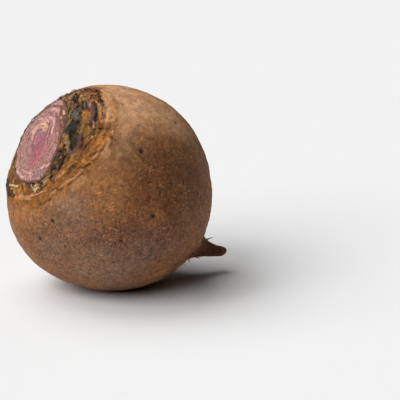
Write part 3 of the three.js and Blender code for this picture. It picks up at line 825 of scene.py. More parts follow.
def skin_fields(theta, phi, points):
    """Fine relief in mm, the masks that colour the skin and the colour of the crown's marks, over the grid."""
    out = outward(theta, phi)
    past = theta - CROWN_EDGE_DEG
    ring = np.stack([np.cos(phi), np.sin(phi), 0 * phi], -1) * BODY_RADIUS
    warp = cloud(points, 7, 11)
    ragged = np.stack([cloud(points, 2.4, seed, 2) for seed in (13, 17, 19)], -1)
    width = band_width(phi) - 3 + 2.2 * warp
    crust = (1 - rise(past - width, -2.5, 1.5)) * rise(past, -1, 0.5)
    collar_width = band_width(phi) + 8 + 5 * np.exp(-(((phi - 4.6) / 0.5) ** 2))
    collar_width = collar_width + 3.5 * cloud(points, 9, 23)
    collar = (1 - rise(past - collar_width, -5, 6)) * rise(past, 0, 2)

    # Wrinkles follow the cut's edge: noise drawn out round the crown and packed close along the meridian.
    arc = BODY_RADIUS * np.radians(theta)[..., None] * np.array([0, 0, 1.0])
    long_wrinkles = ridges(ring / 7 + (arc + 1.1 * warp[..., None]) / 1.7, 1.0, 31, 2)
    fine_wrinkles = ridges(ring / 3.5 + arc / 0.85, 1.0, 41, 2)
    crumbs = ridges(points, 2.4, 53, 3)
    boulders = cloud(points, 3.4, 59, 3)
    torn = np.stack([cloud(points, 1.5, seed, 2) for seed in (14, 18, 20)], -1)
    marks = read_marks(CROWN_MARKS, PIXEL, skin_reader()) + read_marks(BACK_MARKS, 1, on_ball)
    mark_height, marked, colour = painted(out * BODY_RADIUS + 0.4 * torn, marks)

    far_side = 0.35 + 0.65 * wideness(phi)
    folds = 0.25 * (long_wrinkles - 0.55) + 0.35 * (fine_wrinkles - 0.5)
    folds = folds + 0.3 * boulders + 0.35 * (crumbs - 0.6)
    relief = crust * far_side * (0.6 * (crumbs - 0.6) + 0.55 * boulders + 0.3 * folds)
    relief = relief + mark_height * far_side + collar * (1 - 0.6 * crust) * folds
    plain = 1 - np.maximum(crust, 0.6 * collar)
    grain = 0.16 * cloud(points, 6, 61) + 0.12 * cloud(points, 2.2, 67) + 0.07 * cloud(points, 1.0, 71, 2)
    tail = rise(theta, 108, 150)
    hoops = ridges(ring / 7 + arc / 1.4, 1.0, 73, 2)
    relief = relief + plain * (0.3 * cloud(points, 11, 79, 2) + grain + (0.08 + 0.5 * tail) * (hoops - 0.5))
    furrowed = furrows(theta, phi)
    relief = relief + 0.5 * furrowed * (ridges(ring / 3 + arc / 1.6, 1.0, 83, 2) - 0.5)
    pits = blobs(out + 0.01 * ragged, PITS) * plain
    relief = relief - 0.9 * pits

    # Cavity shade: low in the hollows of the crust, the collar's wrinkles, the hoops and the pits, high on their
    # crests. The material darkens the colour by it as painted shade in the hollows and lightens it as painted
    # highlight on the crests.
    cavity_shade = (
        crust * (1.0 * (crumbs - 0.5) + 0.8 * boulders + 0.6 * folds)
        + collar
        * (1 - crust)
        * (0.35 * (long_wrinkles - 0.55) + 0.6 * (fine_wrinkles - 0.55) + 0.6 * boulders)
        + plain * ((0.3 + 0.7 * tail) * (hoops - 0.55) + 0.8 * cloud(points, 2.2, 67))
        - 1.2 * pits
    )
    masks = {
        "crust": crust,
        "collar": collar,
        "marked": np.clip(marked, 0, 1),
        # tone: the broad tone, with painted light on the top and painted shade on the right side and underneath.
        "tone_light_and_shade": np.clip(0.5 + 0.5 * blobs(out + 0.05 * ragged, TONES_LIGHT_AND_SHADE), 0, 1),
        "mauve": np.clip(blobs(out, MAUVE_PATCHES), 0, 1),
        "russet": np.clip(blobs(out, RUSSET_PATCHES), 0, 1),
        "ochre": np.clip(blobs(out, OCHRE_PATCHES), 0, 1),
        "olive": np.clip(blobs(out, OLIVE_PATCHES), 0, 1),
        "cavity_shade": np.clip(0.5 + 0.5 * cavity_shade, 0, 1),
        "pit": np.clip(pits, 0, 1),
    }
    return relief, masks, colour


def placed(points):
    """Standing millimetres to the row frame in metres: turned about Y by the lean, then put at BODY_MIDDLE."""
    x, y, z = points[..., 0], points[..., 1], points[..., 2]
    leaned = np.stack([x * np.cos(LEAN) - z * np.sin(LEAN), y, x * np.sin(LEAN) + z * np.cos(LEAN)], -1)
    return (leaned + BODY_MIDDLE) * MM


def skin_grid():
    """The skin as rows from under the cut face, over the groove and down to the tip of the tail. Its rows are
    close at the crown, wider over the belly and close again on the tail, and its columns on the wide side."""
    fine = np.linspace(0, 1, 4000)
    theta, distance = meridian(fine)
    steps = np.hypot(np.gradient(distance), distance * np.gradient(np.radians(theta)))
    spacing = 0.3 + 0.55 * rise(theta, 50, 66) - 0.3 * rise(theta, 150, 170)
    travelled = np.cumsum(steps / spacing)
    t = np.interp(np.linspace(travelled[0], travelled[-1], SKIN_ROWS), travelled, fine)
    theta, distance = (value[:, None] for value in meridian(t))
    phi = (np.arange(SKIN_COLUMNS) * TURN / SKIN_COLUMNS)[None, :]
    phi = phi - 0.4 * np.sin(phi - WIDE_SIDE)
    points = broad_skin(theta, distance, phi)
    theta = theta + 0 * phi
    phi = phi + 0 * theta
    relief, masks, tints = skin_fields(theta, phi, points)
    relief = relief * rise(theta, CROWN_EDGE_DEG - 0.1, CROWN_EDGE_DEG + 1.5) * (1 - rise(theta, 178, 180))
    points = points + grid_normals(points) * relief[..., None]

    floor = [(0.25, 2.4), (0.6, 2.4), (0.9, 2.4), (0.98, 2.2), (1.0, 1.6)]
    under = [round_the_cut(share * (cut_edge(phi[0]) + 0.2), phi[0], drop) for share, drop in floor]
    points = np.concatenate([np.stack(under), points])
    for name, values in masks.items():
        masks[name] = np.concatenate([np.repeat(values[:1], len(floor), 0), values])
    tints = np.concatenate([np.repeat(tints[:1], len(floor), 0), tints])
    row = placed(points)
    row[..., 2] = np.maximum(row[..., 2], 0)
    return row, masks, tints


def strip_faces(rows, columns):
    """Quads of a grid whose columns close on themselves, with a single point before it and one after it."""
    k = np.arange(columns)
    after = (k + 1) % columns
    start = 1 + np.arange(rows - 1)[:, None] * columns
    quads = np.stack([start + k, start + columns + k, start + columns + after, start + after], -1)
    quads = quads.reshape(-1, 4)
    first = np.stack([0 * k, 1 + k, 1 + after], -1)
    last_row = 1 + (rows - 1) * columns
    last = np.stack([last_row + k, 0 * k + last_row + columns, last_row + after], -1)
    return quads, np.concatenate([first, last])


def repeated_faces(count, stride, rows, columns):
    """The faces of count closed grids whose vertices follow one another, stride to a grid."""
    offset = np.arange(count)[:, None, None] * stride
    return [(faces + offset).reshape(-1, faces.shape[1]) for faces in strip_faces(rows, columns)]


def closed_surface(name, grid, masks, tints):
    """Mesh object from a grid with closed columns. The first and last rows are gathered to their means."""

    def gathered(values):
        flat = values.reshape(-1, *values.shape[2:])
        return np.concatenate([values[0].mean(0)[None], flat, values[-1].mean(0)[None]])

    masks = {key: gathered(values) for key, values in masks.items()}
    return mesh_object(name, gathered(grid), strip_faces(*grid.shape[:2]), masks, gathered(tints))


def mesh_object(name, vertices, face_groups, masks=None, tints=None):
    """Links a mesh object made from arrays of vertices and faces, smooth shaded, with masks as attributes."""
    mesh = bpy.data.meshes.new(name)
    mesh.from_pydata(vertices, [], [tuple(face) for group in face_groups for face in group.tolist()])
    mesh.polygons.foreach_set("use_smooth", np.ones(len(mesh.polygons), bool))
    for key, values in (masks or {}).items():
        mesh.attributes.new(key, "FLOAT", "POINT").data.foreach_set("value", np.asarray(values, np.float32))
    if tints is not None:
        colours = np.concatenate([tints, np.ones((len(tints), 1))], 1).astype(np.float32)
        mesh.attributes.new("tint", "FLOAT_COLOR", "POINT").data.foreach_set("color", colours.ravel())
    mesh.update()
    piece = bpy.data.objects.new(name, mesh)
    bpy.context.scene.collection.objects.link(piece)
    return piece


def many_tubes(paths, radii, flatness, sides=6):
    """Closed tubes along paths (n, steps, 3) with radii (n, steps). Each ring is an ellipse: its long axis
    lies across the path in the skin, and its short axis, shrunk by flatness, stands off it."""
    count, steps = paths.shape[:2]
    along = np.gradient(paths, axis=1)
    along = along / np.linalg.norm(along, axis=-1, keepdims=True)
    out = paths / np.linalg.norm(paths, axis=-1, keepdims=True)
    side = np.cross(along, out)
    side = side / np.maximum(np.linalg.norm(side, axis=-1, keepdims=True), 1e-6)
    lift = np.cross(side, along)
    angle = np.arange(sides) * TURN / sides
    ring = (
        np.cos(angle)[None, None, :, None] * side[:, :, None]
        + flatness[:, None, None, None] * np.sin(angle)[None, None, :, None] * lift[:, :, None]
    )
    points = paths[:, :, None] + radii[:, :, None, None] * ring
    first = paths[:, :1] - 0.3 * radii[:, :1, None] * along[:, :1]
    last = paths[:, -1:] + 0.3 * radii[:, -1:, None] * along[:, -1:]
    vertices = np.concatenate([first, points.reshape(count, steps * sides, 3), last], 1)
    return vertices, repeated_faces(count, vertices.shape[1], steps, sides)


# Materials


def linear(red, green, blue):
    """A colour given as 0 to 255 display values, turned to the linear values that shaders use."""
    value = np.array([red, green, blue]) / 255
    value = np.where(value <= 0.04045, value / 12.92, ((value + 0.055) / 1.055) ** 2.4)
    return (*(float(x) for x in value), 1.0)


def add_node(tree, kind, inputs=None, **settings):
    """Adds a node, sets its settings, and fills each named input from a value or links it from a socket."""
    node = tree.nodes.new(kind)
    for key, value in settings.items():
        setattr(node, key, value)
    for key, value in (inputs or {}).items():
        if isinstance(value, bpy.types.NodeSocket):
            tree.links.new(value, node.inputs[key])
        else:
            node.inputs[key].default_value = value
    return node


def noise(tree, vector, scale, detail=3.0, roughness=0.55, distortion=0.0):
    """Noise, from 0 to 1 round a mean of one half. scale is in cells per millimetre."""
    made = add_node(
        tree,
        "ShaderNodeTexNoise",
        {
            "Vector": vector,
            "Scale": scale,
            "Detail": detail,
            "Roughness": roughness,
            "Distortion": distortion,
        },
    )
    return made.outputs["Fac"]


def ramp(tree, value, stops):
    """Colour ramp through stops given as (place, colour or grey)."""
    node = add_node(tree, "ShaderNodeValToRGB", {"Fac": value})
    elements = node.color_ramp.elements
    while len(elements) < len(stops):
        elements.new(0.5)
    for element, (place, colour) in zip(elements, stops):
        element.position = place
        element.color = colour if isinstance(colour, tuple) else (colour, colour, colour, 1)
    return node.outputs["Color"]


def mix(tree, share, first, second, blend="MIX"):
    """Mixes two colours by a share, plainly or by a blend mode."""
    node = add_node(tree, "ShaderNodeMix", data_type="RGBA", blend_type=blend)
    for socket, value in zip((node.inputs[0], node.inputs[6], node.inputs[7]), (share, first, second)):
        if isinstance(value, bpy.types.NodeSocket):
            tree.links.new(value, socket)
        else:
            socket.default_value = value
    return node.outputs[2]


def maths(tree, operation, *values, clamp=False):
    node = add_node(tree, "ShaderNodeMath", operation=operation, use_clamp=clamp)
    for socket, value in zip(node.inputs, values):
        if isinstance(value, bpy.types.NodeSocket):
            tree.links.new(value, socket)
        else:
            socket.default_value = value
    return node.outputs[0]


def window(tree, value, low, high):
    """0 below low and 1 above high, with a smooth step between."""
    node = add_node(
        tree,
        "ShaderNodeMapRange",
        {"Value": value, "From Min": low, "From Max": high},
        interpolation_type="SMOOTHSTEP",
    )
    return node.outputs["Result"]


def mask(tree, name):
    return add_node(tree, "ShaderNodeAttribute", attribute_name=name).outputs["Fac"]


def millimetres(tree):
    """Object coordinates in millimetres."""
    place = add_node(tree, "ShaderNodeTexCoord").outputs["Object"]
    scaled = add_node(tree, "ShaderNodeMapping", {"Vector": place, "Scale": (1 / MM, 1 / MM, 1 / MM)})
    return scaled.outputs["Vector"]


def new_group(name, inputs, outputs):
    """A shader node group with named sockets: inputs are (name, kind, default), outputs (name, kind)."""
    group = bpy.data.node_groups.new(name, "ShaderNodeTree")
    for label, kind, default in inputs:
        socket = group.interface.new_socket(name=label, in_out="INPUT", socket_type=kind)
        socket.default_value = default
    for label, kind in outputs:
        group.interface.new_socket(name=label, in_out="OUTPUT", socket_type=kind)
    entry = group.nodes.new("NodeGroupInput")
    leave = group.nodes.new("NodeGroupOutput")
    return group, entry.outputs, leave.inputs


def earthy_grain():
    """Group: breaks a colour up with fine darker and lighter grains, and puts out their height."""
    if "Earthy grain" in bpy.data.node_groups:
        return bpy.data.node_groups["Earthy grain"]
    group, given, out = new_group(
        "Earthy grain",
        [
            ("Place", "NodeSocketVector", (0, 0, 0)),
            ("Colour", "NodeSocketColor", (0.5, 0.5, 0.5, 1)),
            ("Grains per mm", "NodeSocketFloat", 1.0),
            ("Contrast", "NodeSocketFloat", 0.5),
        ],
        [("Colour", "NodeSocketColor"), ("Height", "NodeSocketFloat")],
    )
    coarse = noise(group, given["Place"], given["Grains per mm"], 4.0, 0.65)
    double = maths(group, "MULTIPLY", given["Grains per mm"], 2.7)
    fine = noise(group, given["Place"], double, 3.0, 0.6)
    both = maths(group, "MULTIPLY_ADD", fine, 0.5, maths(group, "MULTIPLY", coarse, 0.5))
    shade = ramp(group, both, [(0.36, 0.12), (0.5, 0.5), (0.64, 0.9)])
    grained = mix(group, given["Contrast"], given["Colour"], shade, "OVERLAY")
    group.links.new(grained, out["Colour"])
    group.links.new(both, out["Height"])
    return group


def finish_material(tree, place, colour, grains_per_mm, contrast, roughness, strength, distance, specular):
    """Breaks the colour up with grain, and adds the Principled shader with a bump from the grain's height."""
    grain = add_node(
        tree,
        "ShaderNodeGroup",
        {"Place": place, "Colour": colour, "Grains per mm": grains_per_mm, "Contrast": contrast},
        node_tree=earthy_grain(),
    )
    bump = add_node(
        tree,
        "ShaderNodeBump",
        {"Height": grain.outputs["Height"], "Strength": strength, "Distance": distance * MM},
    )
    shader = add_node(
        tree,
        "ShaderNodeBsdfPrincipled",
        {
            "Base Color": grain.outputs["Colour"],
            "Roughness": roughness,
            "Normal": bump.outputs["Normal"],
            "Specular IOR Level": specular,
        },
    )
    add_node(tree, "ShaderNodeOutputMaterial", {"Surface": shader.outputs["BSDF"]})


def new_material(name):
    material = bpy.data.materials.new(name)
    material.use_nodes = True
    material.node_tree.nodes.clear()
    return material, material.node_tree


def skin_material(looks):
    """Corky brown skin: soft brown tones, tinted patches, grain, flecks and pits, an orange wrinkled collar
    round the crown, and a dark crust of dried leaf stalks inside it. It carries painted light and shade too:
    the broad tone lightens the top and darkens the side and underside, and the relief's hollows are darkened
    and its crests lightened."""
    material, tree = new_material("corky_skin")
    place = millimetres(tree)
    cavity_shade = mask(tree, "cavity_shade")

    broad = noise(tree, place, 0.075, 3.0, 0.6, 0.6)
    blotch = noise(tree, place, 0.28, 4.0, 0.62, 0.4)
    # The broad tone carries painted light and shade: the ramp below makes the lit top tan and the shaded side
    # dark.
    tone_light_and_shade = maths(tree, "MULTIPLY_ADD", mask(tree, "tone_light_and_shade"), 0.9, -0.2)
    tone_light_and_shade = maths(tree, "MULTIPLY_ADD", broad, 0.5, tone_light_and_shade)
    base = ramp(
        tree,
        tone_light_and_shade,
        [
            (0.1, linear(106, 62, 32)),
            (0.4, tuple(looks.umber)),
            (0.62, linear(156, 105, 64)),
            (0.95, tuple(looks.tan)),
        ],
    )
    blotchy = ramp(tree, tone_light_and_shade, [(0.5, 0.5), (0.9, 0.25)])
    blotchy = maths(tree, "MULTIPLY", window(tree, blotch, 0.46, 0.6), blotchy)
    base = mix(tree, blotchy, base, linear(128, 80, 48))
    bloom = noise(tree, place, 0.16, 4.0, 0.65, 0.8)
    bloomed = maths(tree, "MULTIPLY", window(tree, bloom, 0.5, 0.62), 0.35)
    base = mix(tree, bloomed, base, linear(146, 112, 86))
    for name, colour, strength in (
        ("mauve", tuple(looks.mauve), 1.3),
        ("russet", linear(126, 74, 36), 1.3),
        ("ochre", tuple(looks.orange), 1.2),
        ("olive", linear(104, 84, 54), 1.1),
    ):
        edge = maths(tree, "MULTIPLY", noise(tree, place, 0.35, 3.0), strength)
        share = maths(tree, "MULTIPLY", mask(tree, name), edge, clamp=True)
        base = mix(tree, share, base, colour)

    # Drifts of pale cork flakes, and dark earthy specks between them.
    flecks = noise(tree, place, 1.0, 3.0, 0.55)
    drift = window(tree, noise(tree, place, 0.12, 2.0), 0.42, 0.6)
    flaky = maths(tree, "MULTIPLY_ADD", drift, 0.45, 0.15)
    flaky = maths(tree, "MULTIPLY", window(tree, flecks, 0.56, 0.68), flaky)
    base = mix(tree, flaky, base, linear(200, 150, 100))
    specks = noise(tree, place, 0.75, 4.0, 0.65)
    speckled = maths(tree, "MULTIPLY_ADD", drift, 0.35, 0.35)
    speckled = maths(tree, "MULTIPLY", window(tree, specks, 0.57, 0.68), speckled)
    speckled = maths(tree, "MULTIPLY", speckled, ramp(tree, tone_light_and_shade, [(0.5, 1.0), (0.9, 0.35)]))
    base = mix(tree, speckled, base, linear(78, 48, 28))

    # Painted shade and highlight on the collar: its orange is darkened in the wrinkles and lightened on their
    # crests.
    fold = maths(tree, "MULTIPLY_ADD", cavity_shade, 0.8, -0.12)
    fold = maths(tree, "MULTIPLY_ADD", noise(tree, place, 0.9, 3.0), 0.4, fold)
    collar_colour = ramp(
        tree,
        fold,
        [
            (0.1, linear(76, 42, 6)),
            (0.36, linear(117, 69, 14)),
            (0.6, linear(148, 92, 28)),
            (0.88, linear(194, 134, 62)),
        ],
    )
    collar_share = maths(tree, "MULTIPLY_ADD", blotch, 0.8, 0.5)
    collar_share = maths(tree, "MULTIPLY", mask(tree, "collar"), collar_share, clamp=True)
    colour = mix(tree, collar_share, base, collar_colour)
    # Painted shade over the whole skin: an overlay darkens the hollows of the relief and lightens its crests.
    colour = mix(tree, 0.8, colour, ramp(tree, cavity_shade, [(0.1, 0.25), (0.5, 0.48), (0.9, 0.62)]), "OVERLAY")

    # The crust's browns with painted shade in its crevices and painted highlight on its tips.
    crusty = maths(tree, "MULTIPLY_ADD", cavity_shade, 0.9, -0.3)
    crusty = maths(tree, "MULTIPLY_ADD", noise(tree, place, 1.3, 4.0, 0.65), 0.6, crusty)
    crust_colour = ramp(
        tree,
        crusty,
        [
            (0.12, linear(40, 26, 12)),
            (0.34, linear(88, 56, 24)),
            (0.52, linear(128, 84, 34)),
            (0.68, linear(160, 110, 54)),
            (0.88, linear(206, 164, 108)),
        ],
    )
    olive_share = window(tree, noise(tree, place, 0.35, 3.0), 0.5, 0.62)
    crust_colour = mix(tree, maths(tree, "MULTIPLY", olive_share, 0.5), crust_colour, linear(92, 82, 52))
    colour = mix(tree, mask(tree, "crust"), colour, crust_colour)
    stain = add_node(tree, "ShaderNodeAttribute", attribute_name="tint").outputs["Color"]
    mottle = noise(tree, place, 1.3, 4.0, 0.7)
    stain = mix(tree, 0.6, stain, ramp(tree, mottle, [(0.35, 0.3), (0.65, 0.7)]), "OVERLAY")
    worn = maths(tree, "MULTIPLY", mask(tree, "marked"), ramp(tree, mottle, [(0.5, 1.0), (0.7, 0.8)]))
    colour = mix(tree, worn, colour, stain)
    # The pits are painted dark brown: painted shade in the hollows that the relief sinks there.
    ragged_pit = maths(tree, "MULTIPLY_ADD", noise(tree, place, 1.6, 3.0, 0.6), 0.9, mask(tree, "pit"))
    pitted = maths(tree, "MULTIPLY", window(tree, ragged_pit, 0.72, 0.92), 0.9)
    colour = mix(tree, pitted, colour, linear(56, 34, 20))

    contrast = ramp(tree, tone_light_and_shade, [(0.3, 1.0), (0.8, 0.4)])
    roughness = ramp(tree, broad, [(0.3, 0.62), (0.7, 0.78)])
    finish_material(
        tree,
        place,
        colour,
        grains_per_mm=0.85,
        contrast=contrast,
        roughness=roughness,
        strength=0.75,
        distance=0.55,
        specular=0.25,
    )
    return material


def flesh_material(looks):
    """Dried cut flesh: faint nested rings of cream, pink and mauve round an off-centre heart, crumbly and
    paler at the rim, under the tints of its marks."""
    material, tree = new_material("cut_flesh")
    place = millimetres(tree)
    across = mask(tree, "ring")
    ripple = noise(tree, place, 0.7, 3.0, 0.6)
    crumble = noise(tree, place, 1.0, 4.0, 0.7)
    colour = ramp(
        tree,
        mask(tree, "wave"),
        [
            (0.0, linear(114, 70, 72)),
            (0.35, tuple(looks.flesh)),
            (0.68, linear(142, 95, 90)),
            (1.0, linear(172, 126, 114)),
        ],
    )
    dark = maths(tree, "MULTIPLY", window(tree, mask(tree, "line"), 0.66, 0.86), 0.6)
    colour = mix(tree, dark, colour, linear(124, 78, 78))
    pale = maths(tree, "MULTIPLY", window(tree, mask(tree, "pale_line"), 0.7, 0.88), 0.6)
    colour = mix(tree, pale, colour, linear(206, 166, 150))
    low = window(tree, mask(tree, "low"), 0.2, 1.0)
    low_colour = ramp(
        tree,
        crumble,
        [(0.36, linear(112, 74, 68)), (0.5, linear(146, 104, 94)), (0.64, linear(196, 156, 142))],
    )
    colour = mix(tree, maths(tree, "MULTIPLY", low, 0.55), colour, low_colour)
    margin = maths(tree, "MULTIPLY", window(tree, across, 0.72, 0.95), 0.75)
    margin_colour = ramp(
        tree,
        crumble,
        [(0.36, linear(104, 66, 54)), (0.5, linear(154, 108, 94)), (0.64, linear(212, 172, 152))],
    )
    colour = mix(tree, margin, colour, margin_colour)
    stain = add_node(tree, "ShaderNodeAttribute", attribute_name="tint").outputs["Color"]
    worn = maths(tree, "MULTIPLY", mask(tree, "marked"), ramp(tree, crumble, [(0.5, 1.0), (0.66, 0.75)]))
    colour = mix(tree, worn, colour, stain)
    rim = maths(tree, "MULTIPLY", window(tree, across, 0.95, 0.99), window(tree, ripple, 0.3, 0.5))
    colour = mix(tree, rim, colour, linear(92, 58, 44))
    finish_material(
        tree,
        place,
        colour,
        grains_per_mm=0.9,
        contrast=0.85,
        roughness=ramp(tree, ripple, [(0.35, 0.5), (0.65, 0.68)]),
        strength=0.6,
        distance=0.4,
        specular=0.35,
    )
    return material


def dry_material():
    """Dry leaf stalk, made once: each piece has its own tint, streaked with fibres and broken up by grain."""
    if "dry_stalk" in bpy.data.materials:
        return bpy.data.materials["dry_stalk"]
    material, tree = new_material("dry_stalk")
    place = millimetres(tree)
    tint = add_node(tree, "ShaderNodeAttribute", attribute_name="tint").outputs["Color"]
    fibres = noise(tree, place, 1.4, 4.0, 0.7, 1.5)
    colour = mix(tree, 0.75, tint, ramp(tree, fibres, [(0.3, 0.15), (0.5, 0.5), (0.72, 0.9)]), "OVERLAY")
    finish_material(
        tree,
        place,
        colour,
        grains_per_mm=1.2,
        contrast=0.5,
        roughness=0.72,
        strength=0.7,
        distance=0.4,
        specular=0.3,
    )
    return material


# Pieces


def on_skin(theta, phi, proud=0.0):
    """Points on the broad skin at theta and phi, pushed outwards by proud millimetres."""
    theta, phi = np.broadcast_arrays(np.asarray(theta, float), np.asarray(phi, float))
    distance = meridian(share_at(theta.ravel()))[1].reshape(theta.shape)
    points = broad_skin(theta, distance, phi)
    return points + outward(theta, phi) * np.asarray(proud)[..., None]


def add_root_skin(looks):
    grid, masks, tints = skin_grid()
    piece = closed_surface("root_skin", grid, masks, tints)
    piece.data.materials.append(skin_material(looks))
    return piece


def add_crown_cut(looks):
    """The cut face as a closed slab. The top is the slanting plane with a low ridge for each ring. Then the
    edge turns down and in, and the underside closes it inside the root."""
    columns = 320
    phi = np.arange(columns) * TURN / columns
    share = np.linspace(0.01, 1, 120)[:, None]
    angle = phi[None, :]
    circle = np.stack([8 * np.cos(angle), 8 * np.sin(angle), 0 * angle], -1)
    lobe = 0.8 * np.exp(-((np.sin((angle - 0.5) / 2) / 0.2) ** 2))
    edge = cut_edge(angle) + lobe + 0.3 * cloud(circle, 1.6, 5) + 0.25 * cloud(circle, 0.5, 7, 2)
    x = CUT_CENTRE[0] + (1 - share) * RING_HEART[0] + share * edge * np.cos(angle)
    y = CUT_CENTRE[1] + (1 - share) * RING_HEART[1] + share * edge * np.sin(angle)
    flat = np.stack([x, y, 0 * x], -1)
    # Noise that runs along the rings: slow across the face and quick in the share of the way out.
    along = np.stack([x / 6, y / 6, 18 * share + 0 * x], -1)
    phase = 7.4 * (share + 0.15 * cloud(flat, 10, 91, 2)) + 0.25 * cloud(flat, 2.2, 92, 2)
    wave = 0.5 + 0.5 * np.cos(TURN * phase)
    lines = ridges(along + 0.35 * cloud(flat, 3, 94)[..., None], 1.0, 95, 2)
    pale_lines = ridges(along + 0.35 * cloud(flat, 3, 96)[..., None], 1.0, 97, 2)
    margin = rise(share, 0.74, 0.92)
    height = 0.16 * (wave - 0.5) - 0.25 * (lines - 0.55) + 0.25 * (pale_lines - 0.55)
    height = height * rise(share, 0, 0.12)
    height = height + (0.12 + 0.2 * margin) * cloud(flat, 1.9, 93, 3) - 0.45 * rise(share, 0.95, 1.0) ** 2
    torn = np.stack([cloud(flat, 1.3, 98, 2), cloud(flat, 1.3, 99, 2), 0 * x], -1)
    mark_height, marked, tints = painted(flat + 0.35 * torn, read_marks(CUT_MARKS, PIXEL, cut_reader))
    top = np.stack([x, y, cut_plane(x, y) + height + mark_height * (1 - rise(share, 0.9, 1))], -1)
    turned_in = ((0.998, 1.3), (0.98, 2.0), (0.9, 2.2), (0.4, 2.2))
    lower = [round_the_cut(edge[0] * inset, phi, drop) for inset, drop in turned_in]
    grid = np.concatenate([top, np.stack(lower)])
    marked = np.concatenate([marked, np.zeros((len(lower), columns))])
    tints = np.concatenate([tints, np.repeat(tints[-1:], len(lower), 0)])

    def whole(values, last):
        return np.concatenate([values + 0 * x, np.full((len(lower), columns), last)])

    masks = {
        "ring": whole(share, 1.0),
        "wave": whole(wave, 0.5),
        "line": whole(lines, 0.5),
        "pale_line": whole(pale_lines, 0.5),
        "low": rise(-grid[..., 1] - 0.5 * grid[..., 0], -2, 9),
        "marked": marked,
    }
    piece = closed_surface("crown_cut", placed(grid), masks, tints)
    piece.data.materials.append(flesh_material(looks))
    return piece


def trimmed_by_knife(points, proud):
    """Points more than proud above the plane of the cut are brought down to a twentieth of their excess."""
    excess = points[..., 2] - cut_plane(points[..., 0], points[..., 1]) - proud
    return points - np.maximum(0, 0.95 * excess)[..., None] * np.array([0, 0, 1.0])


# Where torn stalk gathers: degrees from the crown and round it, spread in mm, flakes, shreds and palette.
TUFTS = (
    (38.4, -8.0, 1.4, 4, 7, "brown"),
    (42.6, -12.0, 1.4, 3, 6, "brown"),
    (41.0, -24.0, 0.9, 4, 5, "dark"),
    (43.8, -27.0, 0.6, 3, 3, "brown"),
    (33.0, -16.0, 1.7, 4, 22, "mixed"),
    (38.4, 150.0, 1.3, 9, 14, "dark"),
    (36.4, 168.0, 0.6, 3, 5, "dark"),
    (33.0, 160.0, 1.2, 2, 10, "pale"),
    (29.4, -140.0, 1.0, 3, 10, "pale"),
    (31.0, -92.0, 1.2, 4, 5, "dark"),
    (31.0, 90.0, 2.6, 5, 10, "brown"),
    (31.0, 120.0, 2.6, 4, 8, "mixed"),
    (29.4, 66.0, 0.8, 7, 6, "dark"),
    (28.8, 44.0, 0.9, 5, 6, "dark"),
    (28.4, 17.0, 0.8, 5, 2, "brown"),
    (28.6, 90.0, 0.7, 4, 4, "dark"),
    (41.0, 141.0, 0.9, 7, 10, "dark"),
)
PALETTES = {
    "brown": ((116, 76, 36), (84, 54, 28), (150, 104, 56), (60, 40, 24)),
    "dark": ((48, 34, 24), (72, 48, 28), (38, 28, 20), (110, 76, 44)),
    "pale": ((224, 206, 172), (196, 160, 112), (150, 110, 66), (90, 64, 40)),
    "mixed": ((168, 138, 98), (146, 106, 62), (92, 62, 34), (56, 38, 24), (116, 78, 62)),
}


def tuft_places(rng, column, loose):
    """Places and tints of torn pieces: a bell of them round each tuft, and loose ones along the cut's rim."""
    theta, phi, tints = [], [], []
    for tuft in (*TUFTS, None):
        if tuft:
            size = rng.normal(size=(2, tuft[column])) * tuft[2] / BODY_RADIUS
            theta.append(tuft[0] + np.degrees(size[0]))
            phi.append(np.radians(tuft[1]) + size[1] / np.sin(np.radians(tuft[0])))
        else:
            theta.append(CROWN_EDGE_DEG + 0.6 + 1.8 * np.abs(rng.normal(size=loose)))
            phi.append(rng.uniform(-np.pi, np.pi, loose))
        palette = np.array([linear(*colour)[:3] for colour in PALETTES[tuft[5] if tuft else "brown"]])
        tints.append(palette[rng.integers(0, len(palette), len(phi[-1]))])
    theta, phi, tints = (np.concatenate(part) for part in (theta, phi, tints))
    return np.maximum(theta, CROWN_EDGE_DEG + 0.4), phi, tints * rng.uniform(0.75, 1.25, (len(phi), 1))


def add_dry_piece(name, vertices, faces, tints):
    """Links a piece of many closed parts, each with its tint. Vertices are in metres, as (parts, points, 3)."""
    tints = np.repeat(tints, vertices.shape[1], 0)
    piece = mesh_object(name, vertices.reshape(-1, 3), faces, tints=tints)
    piece.data.materials.append(dry_material())
    return piece


